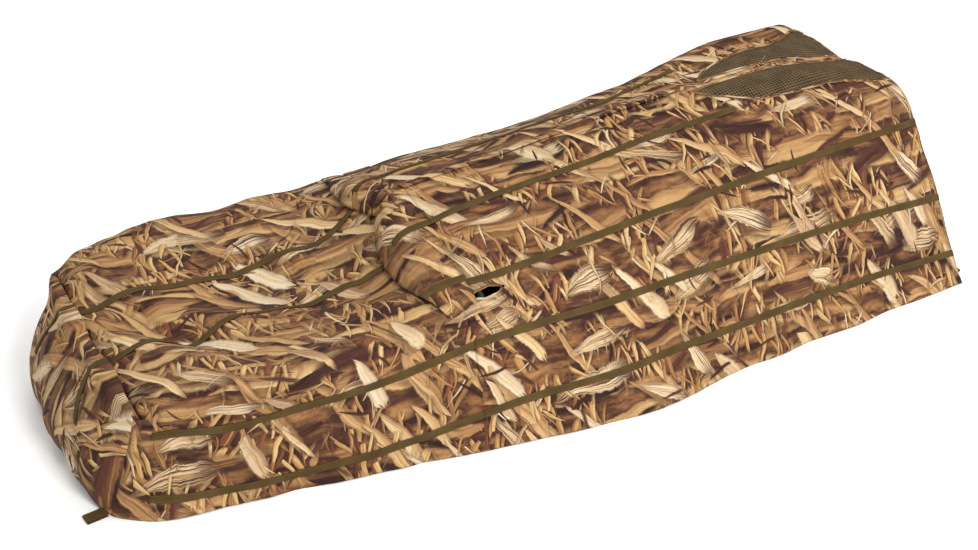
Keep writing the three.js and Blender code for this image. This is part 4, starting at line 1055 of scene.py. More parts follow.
for name, side in SIDES:
    grid, girths, sections = rows(TORSO_SECTIONS, DOOR_XS, lambda s: door_parts(s, side), side)
    relief = torso_relief(grid, girths, sections, side)
    full = head_valance(grid)
    full_girths = np.vstack([girths, np.repeat(girths[-1:], VALANCE_ROWS, axis=0)])
    full_relief = np.vstack([relief, np.repeat(relief[-1:] * 0.5, VALANCE_ROWS, axis=0)])
    uv = cloth_uv(full, full_girths, side)
    uv[len(grid):, :, 0] += (np.arange(1, VALANCE_ROWS + 1) * VALANCE_CUT)[:, None]
    glazed = (DOOR_XS >= WINDOW_TIP_X[side]) & (DOOR_XS < WINDOW_HEAD_X)

    def in_window(i, j):
        return i < len(glazed) - 1 and glazed[i] and OUTER_COLUMNS <= j < OUTER_COLUMNS + NET_COLUMNS

    door = shell(f"{name}_door_fabric", full, uv, CAMO, LINING, relief=full_relief, skip=in_window)
    finish_piece(door, f"{name}_door", (f"{name}_door_cover",))
    width, length = sides_of(full)
    first, last = glazed.nonzero()[0][[0, -1]]
    cut_area = area_of(full) - area_of(full[first:last + 2, NET_SPAN])
    cut_area = min(cut_area, MOST_OF_RECTANGLE * width * length)

    rows_in = [i for i, x in enumerate(DOOR_XS) if WINDOW_TIP_X[side] <= x <= WINDOW_HEAD_X]
    net_grid = grid[rows_in][:, NET_SPAN]
    net_relief = relief[rows_in][:, NET_SPAN] + dome_over(net_grid, [sections[i] for i in rows_in], side)
    net_uv = cloth_uv(net_grid, girths[rows_in][:, NET_SPAN], side)
    net = shell(f"{name}_window_net", net_grid, net_uv, NET, thickness=0.5, lift=-0.4, relief=net_relief)
    finish_piece(net, f"{name}_door", (f"{name}_window",))

    seams = raised(grid, relief + BINDING_LIFT)[rows_in]
    loops = [swept(seams[:, column], radius, 10) for column, radius in BINDINGS]
    binding = merged_object(f"{name}_window_binding", loops, [CAMO])
    finish_piece(binding, f"{name}_door", ())

# ---------- centre flap ----------
FLAP_END_X = 470
FLAP_XS = DOOR_XS[DOOR_XS < FLAP_END_X]
flap_offsets = np.array([-4, -1, 2, 8, 14, 19, 20.5])
flap_sections = [section(TORSO_SECTIONS, x) for x in FLAP_XS]
flap_grid = np.empty((len(FLAP_XS), len(flap_offsets), 3))
for i, s in enumerate(flap_sections):
    y, z = s.at(s.total - np.abs(flap_offsets))
    flap_grid[i] = np.stack([np.full(len(y), s.x), np.sign(flap_offsets) * y, z], axis=1)
flap_girths = np.array([s.total + flap_offsets for s in flap_sections])
wave = 0.8 * FINE(FLAP_XS[:, None], flap_girths * 0.3) * np.abs(flap_offsets) / 20
flap_x = FLAP_XS[:, None]
door_height = 2.2 * BROAD(flap_x, flap_girths) + 1.1 * DIAGONAL(flap_x, flap_girths)
flap = shell("centre_flap_fabric", flap_grid, cloth_uv(flap_grid, flap_girths, -1), CAMO, LINING,
             thickness=1.2, lift=3.4, relief=wave + 0.6 * door_height)
finish_piece(flap, "left_door", ("centre_flap",))

# ---------- aprons over the mouth of the foot bag ----------
APRON_LENGTH = {-1: 118, 1: 78}
APRON_SIDE = 8
APRON_ROWS = 34
APRON_COLUMNS = 56
APRON_CLEARANCE = 9
APRON_SPREAD = 12


def bag_z(x, y):
    """Height of the foot bag's plain surface over a point."""
    s = section(FOOT_SECTIONS, np.clip(x, FOOT_TOP_X, SPLIT_X))
    girth = s.girth_at_y(abs(float(y)))
    return float(s.at(girth)[1])


def apron_grid(side):
    """An apron's grid and girths: out over the bag's mouth, then down to just above the bag."""
    foot = section(TORSO_SECTIONS, DOOR_FOOT_X)
    start, end = foot.hinge - APRON_SIDE, foot.girth_at_y(CENTRE_EDGE_Y)
    u = np.linspace(0, 1, APRON_COLUMNS)
    girths = start + (end - start) * u
    y, z = foot.at(girths)
    reach = APRON_LENGTH[side] * np.sin(math.pi * (0.14 + 0.72 * u)) ** 0.6
    spread = APRON_SPREAD * (1 - u) ** 2
    rest = np.array([bag_z(DOOR_FOOT_X - r, w + 4) for r, w in zip(reach, y)]) + APRON_CLEARANCE
    drop = np.maximum(z - rest, 8)
    grid = []
    for t in np.linspace(0, 1, APRON_ROWS):
        fall = 0.22 * t ** 1.6 + 0.78 * t ** 5
        grid.append(np.stack([DOOR_FOOT_X - reach * t, side * (y + spread * t), z - drop * fall], axis=1))
    return np.array(grid), np.tile(girths, (APRON_ROWS, 1))


apron_skins = {}
for name, side in SIDES:
    grid, girths = apron_grid(side)
    t = np.linspace(0, 1, APRON_ROWS)[:, None]
    start_row = section(TORSO_SECTIONS, DOOR_FOOT_X)
    relief = cloth_ripple(grid[..., 0] + FAR_RIPPLES[side], girths)
    relief = relief + t * 3.5 * np.abs(DIAGONAL(grid[..., 0], girths * 1.2))
    for corner in (SHOULDER, CENTRE_STRAP):
        relief -= SEAM_DEPTH * np.exp(-((girths - start_row.marks[corner]) / SEAM_WIDTH) ** 2)
    relief += 1.6 * smoothstep(0.84, 0.88, t) - 1.0 * np.exp(-((t - 0.83) / 0.015) ** 2)
    apron = shell(f"{name}_apron_fabric", grid, cloth_uv(grid, girths, side), CAMO, LINING, relief=relief)
    finish_piece(apron, f"{name}_door", (f"{name}_door_apron",))
    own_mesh(apron)
    apron_skins[side] = (raised(grid, relief), girths)

# ---------- head end ----------
HEAD_CREST_Y = 150              # the panel's side edges end here, and its top edge runs between them
HEAD_STAND_OFF = 1.5
HEAD_DIP_Z = (300, 470)
head_section = section(TORSO_SECTIONS, HEAD_TOP_X)
crest = head_section.girth_at_y(HEAD_CREST_Y)
head_girths = np.concatenate([HEM_COLUMNS, np.linspace(ABOVE_HEM, crest, 40)])
head_z = head_section.at(head_girths)[1]
across = np.linspace(-1, 1, 61)
head_grid = np.empty((len(head_girths), len(across), 3))


def head_edge(side):
    """Y of the shell's skin along its head edge, which the panel is sewn to."""
    xs = (HEAD_TOP_X - 4, HEAD_TOP_X)
    grid, girths, sections = rows(TORSO_SECTIONS, xs, lambda s: head_girths, side)
    return raised(grid, torso_relief(grid, girths, sections, side))[-1, :, 1]


for i, (left_y, right_y, z) in enumerate(zip(head_edge(-1), head_edge(1), head_z)):
    panel_y = left_y + (right_y - left_y) * (across + 1) / 2
    top_dip = 14 * np.cos(across * math.pi / 2) * smoothstep(*HEAD_DIP_Z, z)
    level = np.full(len(across), z) - top_dip - 3 * smoothstep(*HEAD_DIP_Z, z)
    head_grid[i] = np.stack([lean_x(HEAD_TOP_X, level) + HEAD_STAND_OFF, panel_y, level], axis=1)
head_y, head_level = head_grid[..., 1], head_grid[..., 2]
head_relief = 3.5 * BROAD(head_y * 1.3, head_level) + 1.6 * DIAGONAL(head_y, head_level)
head_relief *= (1 - np.abs(across)[None, :] ** 6) * smoothstep(0, 60, head_level)
head_relief -= 4 * smoothstep(360, 430, head_level)
head_uv = np.stack([head_y + 9000, head_level + 900], axis=2)
head_end = shell("head_end_fabric", head_grid, head_uv, CAMO, LINING, relief=head_relief,
                 outward=lambda g: np.ones_like(g) * np.array((1.0, 0, 0)))
finish_piece(head_end, "torso", ("head_end_panel",))

# ---------- foot bag ----------
BAG_XS = np.linspace(FOOT_TOP_X, SPLIT_X, 104)
CORNER_ROUND = 32
END_ROUND = 80
END_BULGE = 62
# path over the bag, half width and height of each fold, in millimetres
BAG_FOLDS = (
    (((-985, 170, 250), (-930, 90, 245), (-880, 10, 235), (-815, -95, 240), (-745, -200, 262),
      (-690, -300, 275)), 26, -25),
    (((-1000, 90, 250), (-955, 0, 250), (-905, -100, 250), (-850, -210, 262), (-790, -310, 270)), 26, 17),
    (((-960, 260, 250), (-880, 140, 245), (-790, 20, 235), (-700, -110, 245), (-640, -240, 270)), 24, 13),
    (((-700, 200, 250), (-620, 60, 245), (-560, -60, 245), (-520, -180, 258)), 30, -12),
    (((-600, 260, 255), (-520, 120, 250), (-450, -20, 250), (-400, -150, 262)), 26, 10),
    (((-470, 60, 260), (-430, -60, 262), (-400, -190, 270)), 16, -9),
    (((-1035, -312, 60), (-1010, -322, 140), (-985, -326, 225)), 14, 7),
    (((-960, -330, 40), (-930, -345, 130), (-915, -345, 235)), 20, -9),
    (((-850, -350, 60), (-820, -345, 150), (-800, -350, 240)), 26, 5),
)
BAG_RIDGE_BLEND = 120           # the two halves' relief meets over this girth


def bag_girths(s):
    return np.concatenate([HEM_COLUMNS, np.linspace(ABOVE_HEM, s.total, 58)])


def along_path(path, shares):
    """Points on a polyline at shares of its length."""
    marks = lengths_along(path)
    return np.stack([np.interp(shares * marks[-1], marks, path[:, k]) for k in range(3)], axis=1)


def patch_between(low, high, left, right):
    """A grid between four edges: low and high run left to right, left and right run low to high."""
    u = np.linspace(0, 1, len(low))[None, :, None]
    v = np.linspace(0, 1, len(left))[:, None, None]
    corners = (1 - v) * ((1 - u) * low[0] + u * low[-1]) + v * ((1 - u) * high[0] + u * high[-1])
    return (1 - v) * low[None] + v * high[None] + (1 - u) * left[:, None] + u * right[:, None] - corners


halves = {}
for name, side in SIDES:
    grid, girths, sections = rows(FOOT_SECTIONS, BAG_XS, bag_girths, side)
    relief = bag_relief(grid, girths, sections, side)
    toward_end = np.clip((FOOT_TOP_X + END_ROUND - BAG_XS) / END_ROUND, 0, 1)[:, None]
    relief = relief * (1 - 0.4 * toward_end) - CORNER_ROUND * (1 - np.sqrt(1 - toward_end ** 2 * 0.96))
    halves[side] = (grid, girths, relief)
left_grid, left_girths, left_relief = halves[-1]
right_grid, right_girths, right_relief = halves[1]
mean_ridge = 0.5 * (left_relief[:, -1:] + right_relief[:, -1:])
meet = smoothstep(0, BAG_RIDGE_BLEND, left_girths[:, -1:] - left_girths)
left_relief = left_relief * meet + mean_ridge * (1 - meet)
right_relief = right_relief * meet + mean_ridge * (1 - meet)
bag_grid = np.concatenate([left_grid, right_grid[:, ::-1][:, 1:]], axis=1)
bag_height = np.concatenate([left_relief, right_relief[:, ::-1][:, 1:]], axis=1) + folded(bag_grid, BAG_FOLDS)
bag_skin = raised(bag_grid, bag_height)
bag_v = np.concatenate([left_girths, 2 * left_girths[:, -1:] - right_girths[:, ::-1][:, 1:]], axis=1)
bag = shell("foot_bag_fabric", bag_grid, np.stack([bag_grid[..., 0], bag_v], axis=2), CAMO, LINING,
            relief=bag_height)
finish_piece(bag, "foot_section", ("foot_bag",))
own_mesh(bag)

# The foot end closes the bag: three of its edges are the bag's own first row.
END_ROWS = 44
END_COLUMNS = 81
rim = bag_skin[0].copy()
rim[:, 2] = np.maximum(rim[:, 2], LOWEST_SKIN_Z)
end_section = section(FOOT_SECTIONS, FOOT_TOP_X)
top_corner = int(np.argmax(left_girths[0] >= end_section.marks[SHOULDER]))
end_v, end_u = np.linspace(0, 1, END_ROWS), np.linspace(0, 1, END_COLUMNS)
end_grid = patch_between(
    along_path(rim[[0, -1]], end_u), along_path(rim[top_corner:-top_corner], end_u),
    along_path(rim[:top_corner + 1], end_v), along_path(rim[::-1][:top_corner + 1], end_v))
end_across = np.abs(2 * end_u - 1)[None, :]
swell = (0.42 + 0.58 * np.sin(math.pi * end_v ** 0.75)) * (1 - end_v ** 6)
end_height = END_BULGE * swell[:, None] * (1 - end_across ** 4.6)
end_mask = (1 - end_across ** 8) * (1 - end_v[:, None] ** 8)
end_height += end_mask * (5 * BROAD(end_grid[..., 2] * 1.4 + 90, end_grid[..., 1])
                          + 3.4 * DIAGONAL(end_grid[..., 2], end_grid[..., 1]))
END_HEADING = np.array((-1.0, 0, 0.25))
end_uv = np.stack([FOOT_TOP_X - 260 * (1 - end_v[:, None]) + 0 * end_grid[..., 1],
                   end_section.total + end_grid[..., 1]], axis=2)


def facing_foot(grid):
    return np.ones_like(grid) * END_HEADING


foot_end = shell("foot_end_fabric", end_grid, end_uv, CAMO, LINING, relief=end_height, outward=facing_foot)
finish_piece(foot_end, "foot_section", ())
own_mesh(foot_end)

# ---------- floor cloths ----------
FLOOR_INSET = 2.5
FLOOR_Z = 1.6
FLOOR_COLUMNS = 41
FOLD_GAP = 40                   # the foot floor stops short of the split to leave the fold free


def floor_cloth(name, left_foot, right_foot, body, node):
    """A flat cloth from the foot of the left wall to that of the right wall, with low creases."""
    inset = np.array((0, FLOOR_INSET, 0))
    share = np.linspace(0, 1, FLOOR_COLUMNS)[None, :, None]
    grid = (left_foot + inset)[:, None] * (1 - share) + (right_foot - inset)[:, None] * share
    grid[..., 2] = FLOOR_Z
    x, y = grid[..., 0], grid[..., 1]
    crease = 1.5 * np.abs(DIAGONAL(x, y)) + 0.8 * np.abs(FINE(x, y))
    uv = np.stack([x, y], axis=2)
    cloth = shell(name, grid, uv, GROUND_CLOTH, relief=crease, thickness=1.2,
                  outward=lambda g: np.ones_like(g) * np.array((0, 0, 1.0)))
    finish_piece(cloth, body, (node,))


in_torso = (TORSO_XS > SPLIT_X + 2) & (TORSO_XS < HEAD_TOP_X - 6)
floor_cloth("torso_floor_cloth", wall_feet[-1][in_torso], wall_feet[1][in_torso], "torso", "torso_floor")
in_bag = (BAG_XS > FOOT_TOP_X + 8) & (BAG_XS < SPLIT_X - FOLD_GAP)
floor_cloth("foot_floor_cloth", bag_skin[in_bag, 0], bag_skin[in_bag, -1], "foot_section", "foot_floor")

# ---------- webbing ----------
STRAP_COLUMNS = STRAP_WIDTH / 2 * np.array([-1, -0.94, -0.65, -0.33, 0, 0.33, 0.65, 0.94, 1])
STRAP_CROWN = 0.5 * (1 - (2 * STRAP_COLUMNS / STRAP_WIDTH) ** 4)
TACK_SPACING = 230


def webbing(name, grid, body, replaced=(), relief=None, lift=1.0, outward=from_spine):
    """A flat strap over a grid whose columns follow STRAP_COLUMNS."""
    centre = grid[:, len(STRAP_COLUMNS) // 2]
    marks = lengths_along(centre)
    loose = 1.1 * np.abs(np.sin(math.pi * marks / TACK_SPACING))[:, None]
    height = loose * STRAP_CROWN[None, :] + STRAP_CROWN[None, :]
    if relief is not None:
        height = height + relief
    uv = np.stack(np.broadcast_arrays(marks[:, None], STRAP_COLUMNS[None, :]), axis=2)
    strap = shell(name, grid, uv, WEBBING, relief=height, thickness=STRAP_THICKNESS,
                  lift=STRAP_THICKNESS + lift, outward=outward)
    finish_piece(strap, body, replaced)
    return strap


def picked(line, places, wanted):
    """Points of a line where its places are the wanted ones."""
    return np.stack([np.interp(wanted, places, line[:, k]) for k in range(3)], axis=1)


def strap_on_bag(side, corner):
    """A strap that lies on the bag's own cloth, folds and all."""
    facing = bag_skin if side < 0 else bag_skin[:, ::-1]
    half = facing[:, :left_grid.shape[1]]
    marks = [section(FOOT_SECTIONS, x).marks[corner] for x in BAG_XS]
    return np.array([picked(half[i], left_girths[i], marks[i] + STRAP_COLUMNS)
                     for i in range(BAG_STRAP_START[corner], len(BAG_XS))])


INNER_STRAP_END_X = 562
BAG_STRAP_START = {LOWER_STRAP: 6, UPPER_STRAP: 5, CENTRE_STRAP: 0}
TORSO_STRAPS = (
    ("wall_lower_strap", LOWER_STRAP, TORSO_XS, "torso"),
    ("wall_upper_strap", UPPER_STRAP, TORSO_XS, "torso"),
    ("door_outer_strap", SHOULDER, DOOR_XS, "door"),
    ("door_inner_strap", CENTRE_STRAP, DOOR_XS[DOOR_XS < INNER_STRAP_END_X], "door"),
)
BAG_STRAPS = (
    ("foot_lower_webbing", LOWER_STRAP, ()),
    ("foot_upper_webbing", UPPER_STRAP, ()),
    ("foot_top_webbing", CENTRE_STRAP, ("foot_bag_strap",)),
)
for name, side in SIDES:
    for node, corner, xs, body in TORSO_STRAPS:
        grid, girths, sections = rows(TORSO_SECTIONS, xs, lambda s: s.marks[corner] + STRAP_COLUMNS, side)
        relief = torso_relief(grid, girths, sections, side)
        rides = f"{name}_door" if body == "door" else body
        webbing(f"{name}_{node.replace('strap', 'webbing')}", grid, rides, (f"{name}_{node}",), relief)
    for piece, corner, nodes in BAG_STRAPS:
        replaced = [f"{name}_{node}" for node in nodes]
        strap = webbing(f"{name}_{piece}", strap_on_bag(side, corner), "foot_section", replaced)
        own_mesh(strap)

# The door straps run on over the aprons.
# kind, corner, share of the apron's length, shift along the girth
APRON_STRAPS = (("outer", SHOULDER, 1.0, 12), ("inner", CENTRE_STRAP, 0.8, 0))
for name, side in SIDES:
    skin, girths = apron_skins[side]
    foot = section(TORSO_SECTIONS, DOOR_FOOT_X)
    for kind, corner, reach, shift in APRON_STRAPS:
        wanted = foot.marks[corner] + shift + STRAP_COLUMNS
        grid = np.array([picked(skin[i], girths[i], wanted) for i in range(int(APRON_ROWS * reach))])
        strap = webbing(f"{name}_apron_{kind}_webbing", grid, f"{name}_door")
        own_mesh(strap)

# The top straps of the foot bag turn down over the foot end.
END_STRAP_DOWN = 0.52
END_STRAP_ROWS = 30
END_STRAP_DRIFT = 34
end_skin = raised(end_grid, end_height, facing_foot)
for name, side in SIDES:
    strap_y = abs(end_section.at(end_section.marks[CENTRE_STRAP])[0])
    drift = np.linspace(0, 1, END_STRAP_ROWS)
    centre_y = side * (strap_y + END_STRAP_DRIFT * drift)
    grid = []
    for i, share in enumerate(drift):
        v_at = (1 - END_STRAP_DOWN * share) * (END_ROWS - 1)
        row = min(int(v_at), END_ROWS - 2)
        line = end_skin[row] + (end_skin[row + 1] - end_skin[row]) * (v_at - row)
        grid.append(picked(line, line[:, 1], centre_y[i] + side * STRAP_COLUMNS))
    strap = webbing(f"{name}_foot_end_webbing", np.array(grid), "foot_section", lift=1.2, outward=facing_foot)
    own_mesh(strap)

# ---------- stake loops: folded webbing tabs at the corners of the hem ----------
LOOP_WIDTH = 25
LOOP_REACH = 34
LOOP_TURN = 3.1
LOOP_LEVEL = 4


def stake_loop(name, body, x, y, angle):
    bottom = [(along, LOOP_LEVEL - LOOP_TURN) for along in np.linspace(-6, LOOP_REACH, 10)]
    turn = [(LOOP_REACH + LOOP_TURN * math.cos(a), LOOP_LEVEL + LOOP_TURN * math.sin(a))
            for a in np.linspace(-math.pi / 2, math.pi / 2, 11)[1:-1]]
    top = [(along, LOOP_LEVEL + LOOP_TURN - 0.4 * math.sin(math.pi * along / LOOP_REACH))
           for along in np.linspace(LOOP_REACH, -6, 10)]
    line = np.array(bottom + turn + top)
    across = np.linspace(-LOOP_WIDTH / 2, LOOP_WIDTH / 2, 9)
    cosine, sine = math.cos(angle), math.sin(angle)
    grid = np.empty((len(line), len(across), 3))
    for i, (along, height) in enumerate(line):
        grid[i] = np.stack([x + along * cosine - across * sine, y + along * sine + across * cosine,
                            np.full(len(across), height)], axis=1)
    centre = np.array((x + 17 * cosine, y + 17 * sine, LOOP_LEVEL))
    marks = lengths_along(line)
    uv = np.stack(np.broadcast_arrays(marks[:, None], across[None, :] * STRAP_WIDTH / LOOP_WIDTH), axis=2)
    loop = shell(f"{name}_webbing", grid, uv, WEBBING, thickness=1.7, lift=0.6, outward=lambda g: g - centre)
    finish_piece(loop, body, (name,))


SPLAY = 0.12
stake_loop("left_foot_stake_loop", "foot_section", -1068, -262, SPLAY - math.pi)
stake_loop("right_foot_stake_loop", "foot_section", -1030, 325, math.radians(80))
stake_loop("left_head_stake_loop", "torso", 1069, -395, -SPLAY)
stake_loop("right_head_stake_loop", "torso", 1069, 395, SPLAY)

# ---------- the tube frame ----------
BASE_Z = 14
HOOP_TUBE = 9.5
BACK_TUBE = 8
REST_BAR_X = 780
REST_BAR_Z = (BACKREST_AXIS[1] + (REST_BAR_X - BACKREST_AXIS[0]) * math.tan(BACKREST_TILT)
              - (2 * BACK_TUBE + 1) / math.cos(BACKREST_TILT))
TORSO_BASE = [(x, y, BASE_Z) for x, y in (
    (-318, 372), (-230, 405), (-90, 452), (39, 474), (200, 462), (387, 445), (755, 428), (985, 414),
    (1020, 392), (1030, 350), (1032, 200), (1032, 0))]
FOOT_BASE = [(x, y, BASE_Z) for x, y in (
    (-384, 372), (-500, 368), (-678, 345), (-823, 318), (-955, 280), (-990, 266), (-1025, 246),
    (-1040, 220), (-1042, 150), (-1042, 0))]
MID_HOOP = [(-290, 340, 5), (-290, 340, 100), (-290, 340, 215), (-288, 333, 242), (-286, 318, 262),
            (-285, 262, 292), (-285, 140, 330), (-285, 0, 345)]
HEAD_HOOP = [(992, 392, 5), (992, 390, 60), (990, 368, 120), (986, 330, 220), (985, 308, 290),
             (985, 289, 326), (985, 245, 362), (985, 120, 392), (985, 0, 394)]
KNEE_HOOP = [(-410, 342, 5), (-410, 342, 100), (-410, 342, 208), (-410, 336, 226), (-410, 318, 236),
             (-410, 285, 238), (-410, 0, 238)]
FOOT_HOOP = [(-955, 250, 22), (-956, 250, 80), (-961, 250, 165), (-964, 238, 202), (-965, 205, 216),
             (-966, 0, 224)]
REST_BAR = [(780, 404, 6), (780, 402, 50), (780, 352, 118), (780, 300, REST_BAR_Z - 6),
            (780, 255, REST_BAR_Z), (780, 0, REST_BAR_Z)]
BACK_FRAME = [(-14, 205, 0), (120, 205, 0), (520, 205, 0), (574, 190, 0), (590, 140, 0), (590, 0, 0)]
RAIL_XS = (-268, 968)
KNUCKLE_XS = (-238, 936)
DOOR_FRAME_STATIONS = (
    (-240, 0.24), (-240, 0.5), (-238, 0.72), (-225, 0.88), (-180, 0.925), (39, 0.925), (387, 0.925),
    (755, 0.925), (880, 0.925), (925, 0.86), (936, 0.7), (936, 0.45), (936, 0.22))
FRAME_DEPTH = 13


def inclined(points):
    """From the backrest's own plane (along, across, above) to the blind's frame."""
    p = np.asarray(points, float)
    cosine, sine = math.cos(BACKREST_TILT), math.sin(BACKREST_TILT)
    x = BACKREST_AXIS[0] + p[..., 0] * cosine - p[..., 2] * sine
    z = BACKREST_AXIS[1] + p[..., 0] * sine + p[..., 2] * cosine
    return np.stack([x, p[..., 1], z], axis=-1)


def tube_part(points, radius, sides=20):
    """A bent tube with softened ends."""
    path = centripetal(points, 12) if len(points) > 2 else np.linspace(points[0], points[1], 12)
    ends = []
    for tip, inner in ((path[0], path[1]), (path[-1], path[-2])):
        run = (inner - tip) / np.linalg.norm(inner - tip)
        ends.append([tip + run * 0.05 * radius, tip + run * 0.2 * radius])
    path = np.vstack([path[:1], ends[0], path[1:-1], ends[1][::-1], path[-1:]])
    widths = np.ones(len(path))
    widths[[0, -1]], widths[[1, -2]] = 0.84, 0.95
    return swept(path, radius, sides, widths=widths)


def sleeve(start, end, inner, outer, sides=24):
    """A short hollow collar with softened edges."""
    start, end = Vector(start), Vector(end)
    axis = (end - start).normalized()
    side = axis.orthogonal().normalized()
    other = axis.cross(side)
    length = (end - start).length
    soft = 0.9
    outline = ((0, inner), (0, outer - soft), (soft, outer), (length - soft, outer), (length, outer - soft),
               (length, inner))
    verts, uvs = [], []
    for k in range(sides):
        turn = 2 * math.pi * k / sides
        out = side * math.cos(turn) + other * math.sin(turn)
        verts += [(start + axis * along + out * r) * MM for along, r in outline]
        uvs += [(along * MM, turn * outer * MM) for along, _ in outline]
    count = len(outline)
    faces = [(k * count + i, ((k + 1) % sides) * count + i, ((k + 1) % sides) * count + (i + 1) % count,
              k * count + (i + 1) % count) for k in range(sides) for i in range(count)]
    return verts, faces, uvs


def mirrored(part):
    verts, faces, uvs = part
    return [Vector((v[0], -v[1], v[2])) for v in verts], [face[::-1] for face in faces], uvs


def with_mirror(*parts):
    return [*parts, *(mirrored(part) for part in parts)]


def bracket(x, low_y, high_y):
    """A pressed bracket over the base tube, held by a bolt."""
    bolt = sleeve((x, (low_y + high_y) / 2, 31), (x, (low_y + high_y) / 2, 36), 0.01, 5.5, 6)
    return [rounded_block((x - 15, low_y, 3), (x + 15, high_y, 32), 3), bolt]


def rail_sleeve(x0, x1, outer):
    return sleeve(rail_at(x0), rail_at(x1), 8.4, outer)


def under_door(x, share):
    """A point below the door's cloth, at a share of the girth from the hinge to the centre line."""
    s = section(TORSO_SECTIONS, x)
    girth = s.hinge + (s.total - s.hinge) * share
    (y0, z0), (y1, z1), (y, z) = (s.at(girth - 4), s.at(girth + 4), s.at(girth))
    run = math.hypot(y1 - y0, z1 - z0)
    return x, float(y - (z1 - z0) / run * FRAME_DEPTH), float(z + (y1 - y0) / run * FRAME_DEPTH)


def frame_piece(name, body, parts, replaced):
    piece = merged_object(name, parts, [PAINT])
    return finish_piece(piece, body, replaced)


frame_piece("torso_base_tube", "torso", [
    tube_part(both_sides(TORSO_BASE), 11), tube_part([(330, -450, 13), (330, 450, 13)], 8),
    *with_mirror(*bracket(-290, 326, 396), *bracket(992, 376, 420), *bracket(780, 390, 430),
                 rounded_block((316, 215, 3), (344, 221, 50), 1.5))], ["torso_base_frame"])
frame_piece("foot_base_tube", "foot_section", [
    tube_part(both_sides(FOOT_BASE), 11),
    *with_mirror(*bracket(-410, 328, 380), rounded_block((-969, 259, 3), (-941, 278, 45), 2))],
    ["foot_base_frame"])
frame_piece("mid_hoop_tube", "torso", [tube_part(both_sides(MID_HOOP), HOOP_TUBE),
                                       *with_mirror(rail_sleeve(-288, -258, 12))], ["mid_hoop"])
frame_piece("head_hoop_tube", "torso", [tube_part(both_sides(HEAD_HOOP), HOOP_TUBE),
                                        *with_mirror(rail_sleeve(956, 986, 12))], ["head_hoop"])
frame_piece("knee_hoop_tube", "foot_section", [tube_part(both_sides(KNEE_HOOP), HOOP_TUBE)], ["knee_hoop"])
frame_piece("foot_hoop_tube", "foot_hoop", [tube_part(both_sides(FOOT_HOOP), 8)], ["foot_hoop"])
frame_piece("backrest_rest_tube", "torso", [tube_part(both_sides(REST_BAR), BACK_TUBE)],
            ["backrest_rest_bar"])
frame_piece("backrest_tube", "backrest", [tube_part(inclined(both_sides(BACK_FRAME)), BACK_TUBE)],
            ["backrest_frame"])
door_points = [rail_at(KNUCKLE_XS[0]), *(under_door(*station) for station in DOOR_FRAME_STATIONS),
               rail_at(KNUCKLE_XS[1])]
door_parts_right = [tube_part(door_points, 7), *(rail_sleeve(x - 13, x + 13, 11.7) for x in KNUCKLE_XS)]
rail_part = tube_part([rail_at(x) for x in RAIL_XS], 8)
for name, side in SIDES:
    frame_piece(f"{name}_door_tube", f"{name}_door",
                door_parts_right if side > 0 else [mirrored(part) for part in door_parts_right],
                [f"{name}_door_frame"])
    frame_piece(f"{name}_side_rail_tube", "torso", [rail_part if side > 0 else mirrored(rail_part)],
                [f"{name}_side_rail"])
for node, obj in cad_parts.items():
    if node.endswith(("_pin", "_bolt", "_plate")):
        obj.data.materials.clear()
        obj.data.materials.append(STEEL)

# ---------- backrest pad and pillow ----------
PAD_BASE = BACK_TUBE + 0.6
VOXEL = 0.006
PRESSURE = 4
SIM_FRAMES = 20


def rounded_slab(start, length, width, low, high, corner):
    """A slab with round corners in the backrest's own plane, in metres."""
    outline = []
    for k in range(48):
        turn = 2 * math.pi * (k + 0.5) / 48
        cosine, sine = math.cos(turn), math.sin(turn)
        outline.append(((length / 2 - corner) * np.sign(cosine) + corner * cosine,
                        (width / 2 - corner) * np.sign(sine) + corner * sine))
    verts, faces = [], []
    edge = (high - low) * 0.4
    levels = ((low, edge), (low + edge * 0.4, edge * 0.25), (low + edge, 0), (high - edge, 0),
              (high - edge * 0.4, edge * 0.25), (high, edge))
    for level, inset in levels:
        for a, b in outline:
            shrink_a, shrink_b = 1 - 2 * inset / length, 1 - 2 * inset / width
            verts.append(((start + length / 2 + a * shrink_a) * MM, b * shrink_b * MM, level * MM))
    count = len(outline)
    for i in range(len(levels) - 1):
        faces += [(i * count + k, i * count + (k + 1) % count, (i + 1) * count + (k + 1) % count,
                   (i + 1) * count + k) for k in range(count)]
    faces.append(tuple(range(count))[::-1])
    faces.append(tuple((len(levels) - 1) * count + k for k in range(count)))
    return verts, faces


def inflated(obj, cap):
    """The slab blown up as cloth, no point moving further than cap."""
    remesh = obj.modifiers.new("voxels", "REMESH")
    remesh.mode = "VOXEL"
    remesh.voxel_size = VOXEL
    apply_modifiers(obj)
    rest = np.array([v.co[:] for v in obj.data.vertices])
    cloth = obj.modifiers.new("cover", "CLOTH")
    cloth.settings.use_pressure = True
    cloth.settings.uniform_pressure_force = PRESSURE
    cloth.settings.effector_weights.gravity = 0
    cloth.point_cache.frame_start = 1
    cloth.point_cache.frame_end = SIM_FRAMES
    for frame_number in range(1, SIM_FRAMES + 1):
        bpy.context.scene.frame_set(frame_number)
    apply_modifiers(obj)
    bpy.context.scene.frame_set(1)
    moved = np.array([v.co[:] for v in obj.data.vertices])
    step = moved - rest
    reach = np.linalg.norm(step, axis=1, keepdims=True)
    return rest + step * np.minimum(1, cap * MM / np.maximum(reach, 1e-9))


def apply_modifiers(obj):
    depsgraph = bpy.context.evaluated_depsgraph_get()
    made = bpy.data.meshes.new_from_object(obj.evaluated_get(depsgraph), depsgraph=depsgraph)
    obj.modifiers.clear()
    obj.data = made


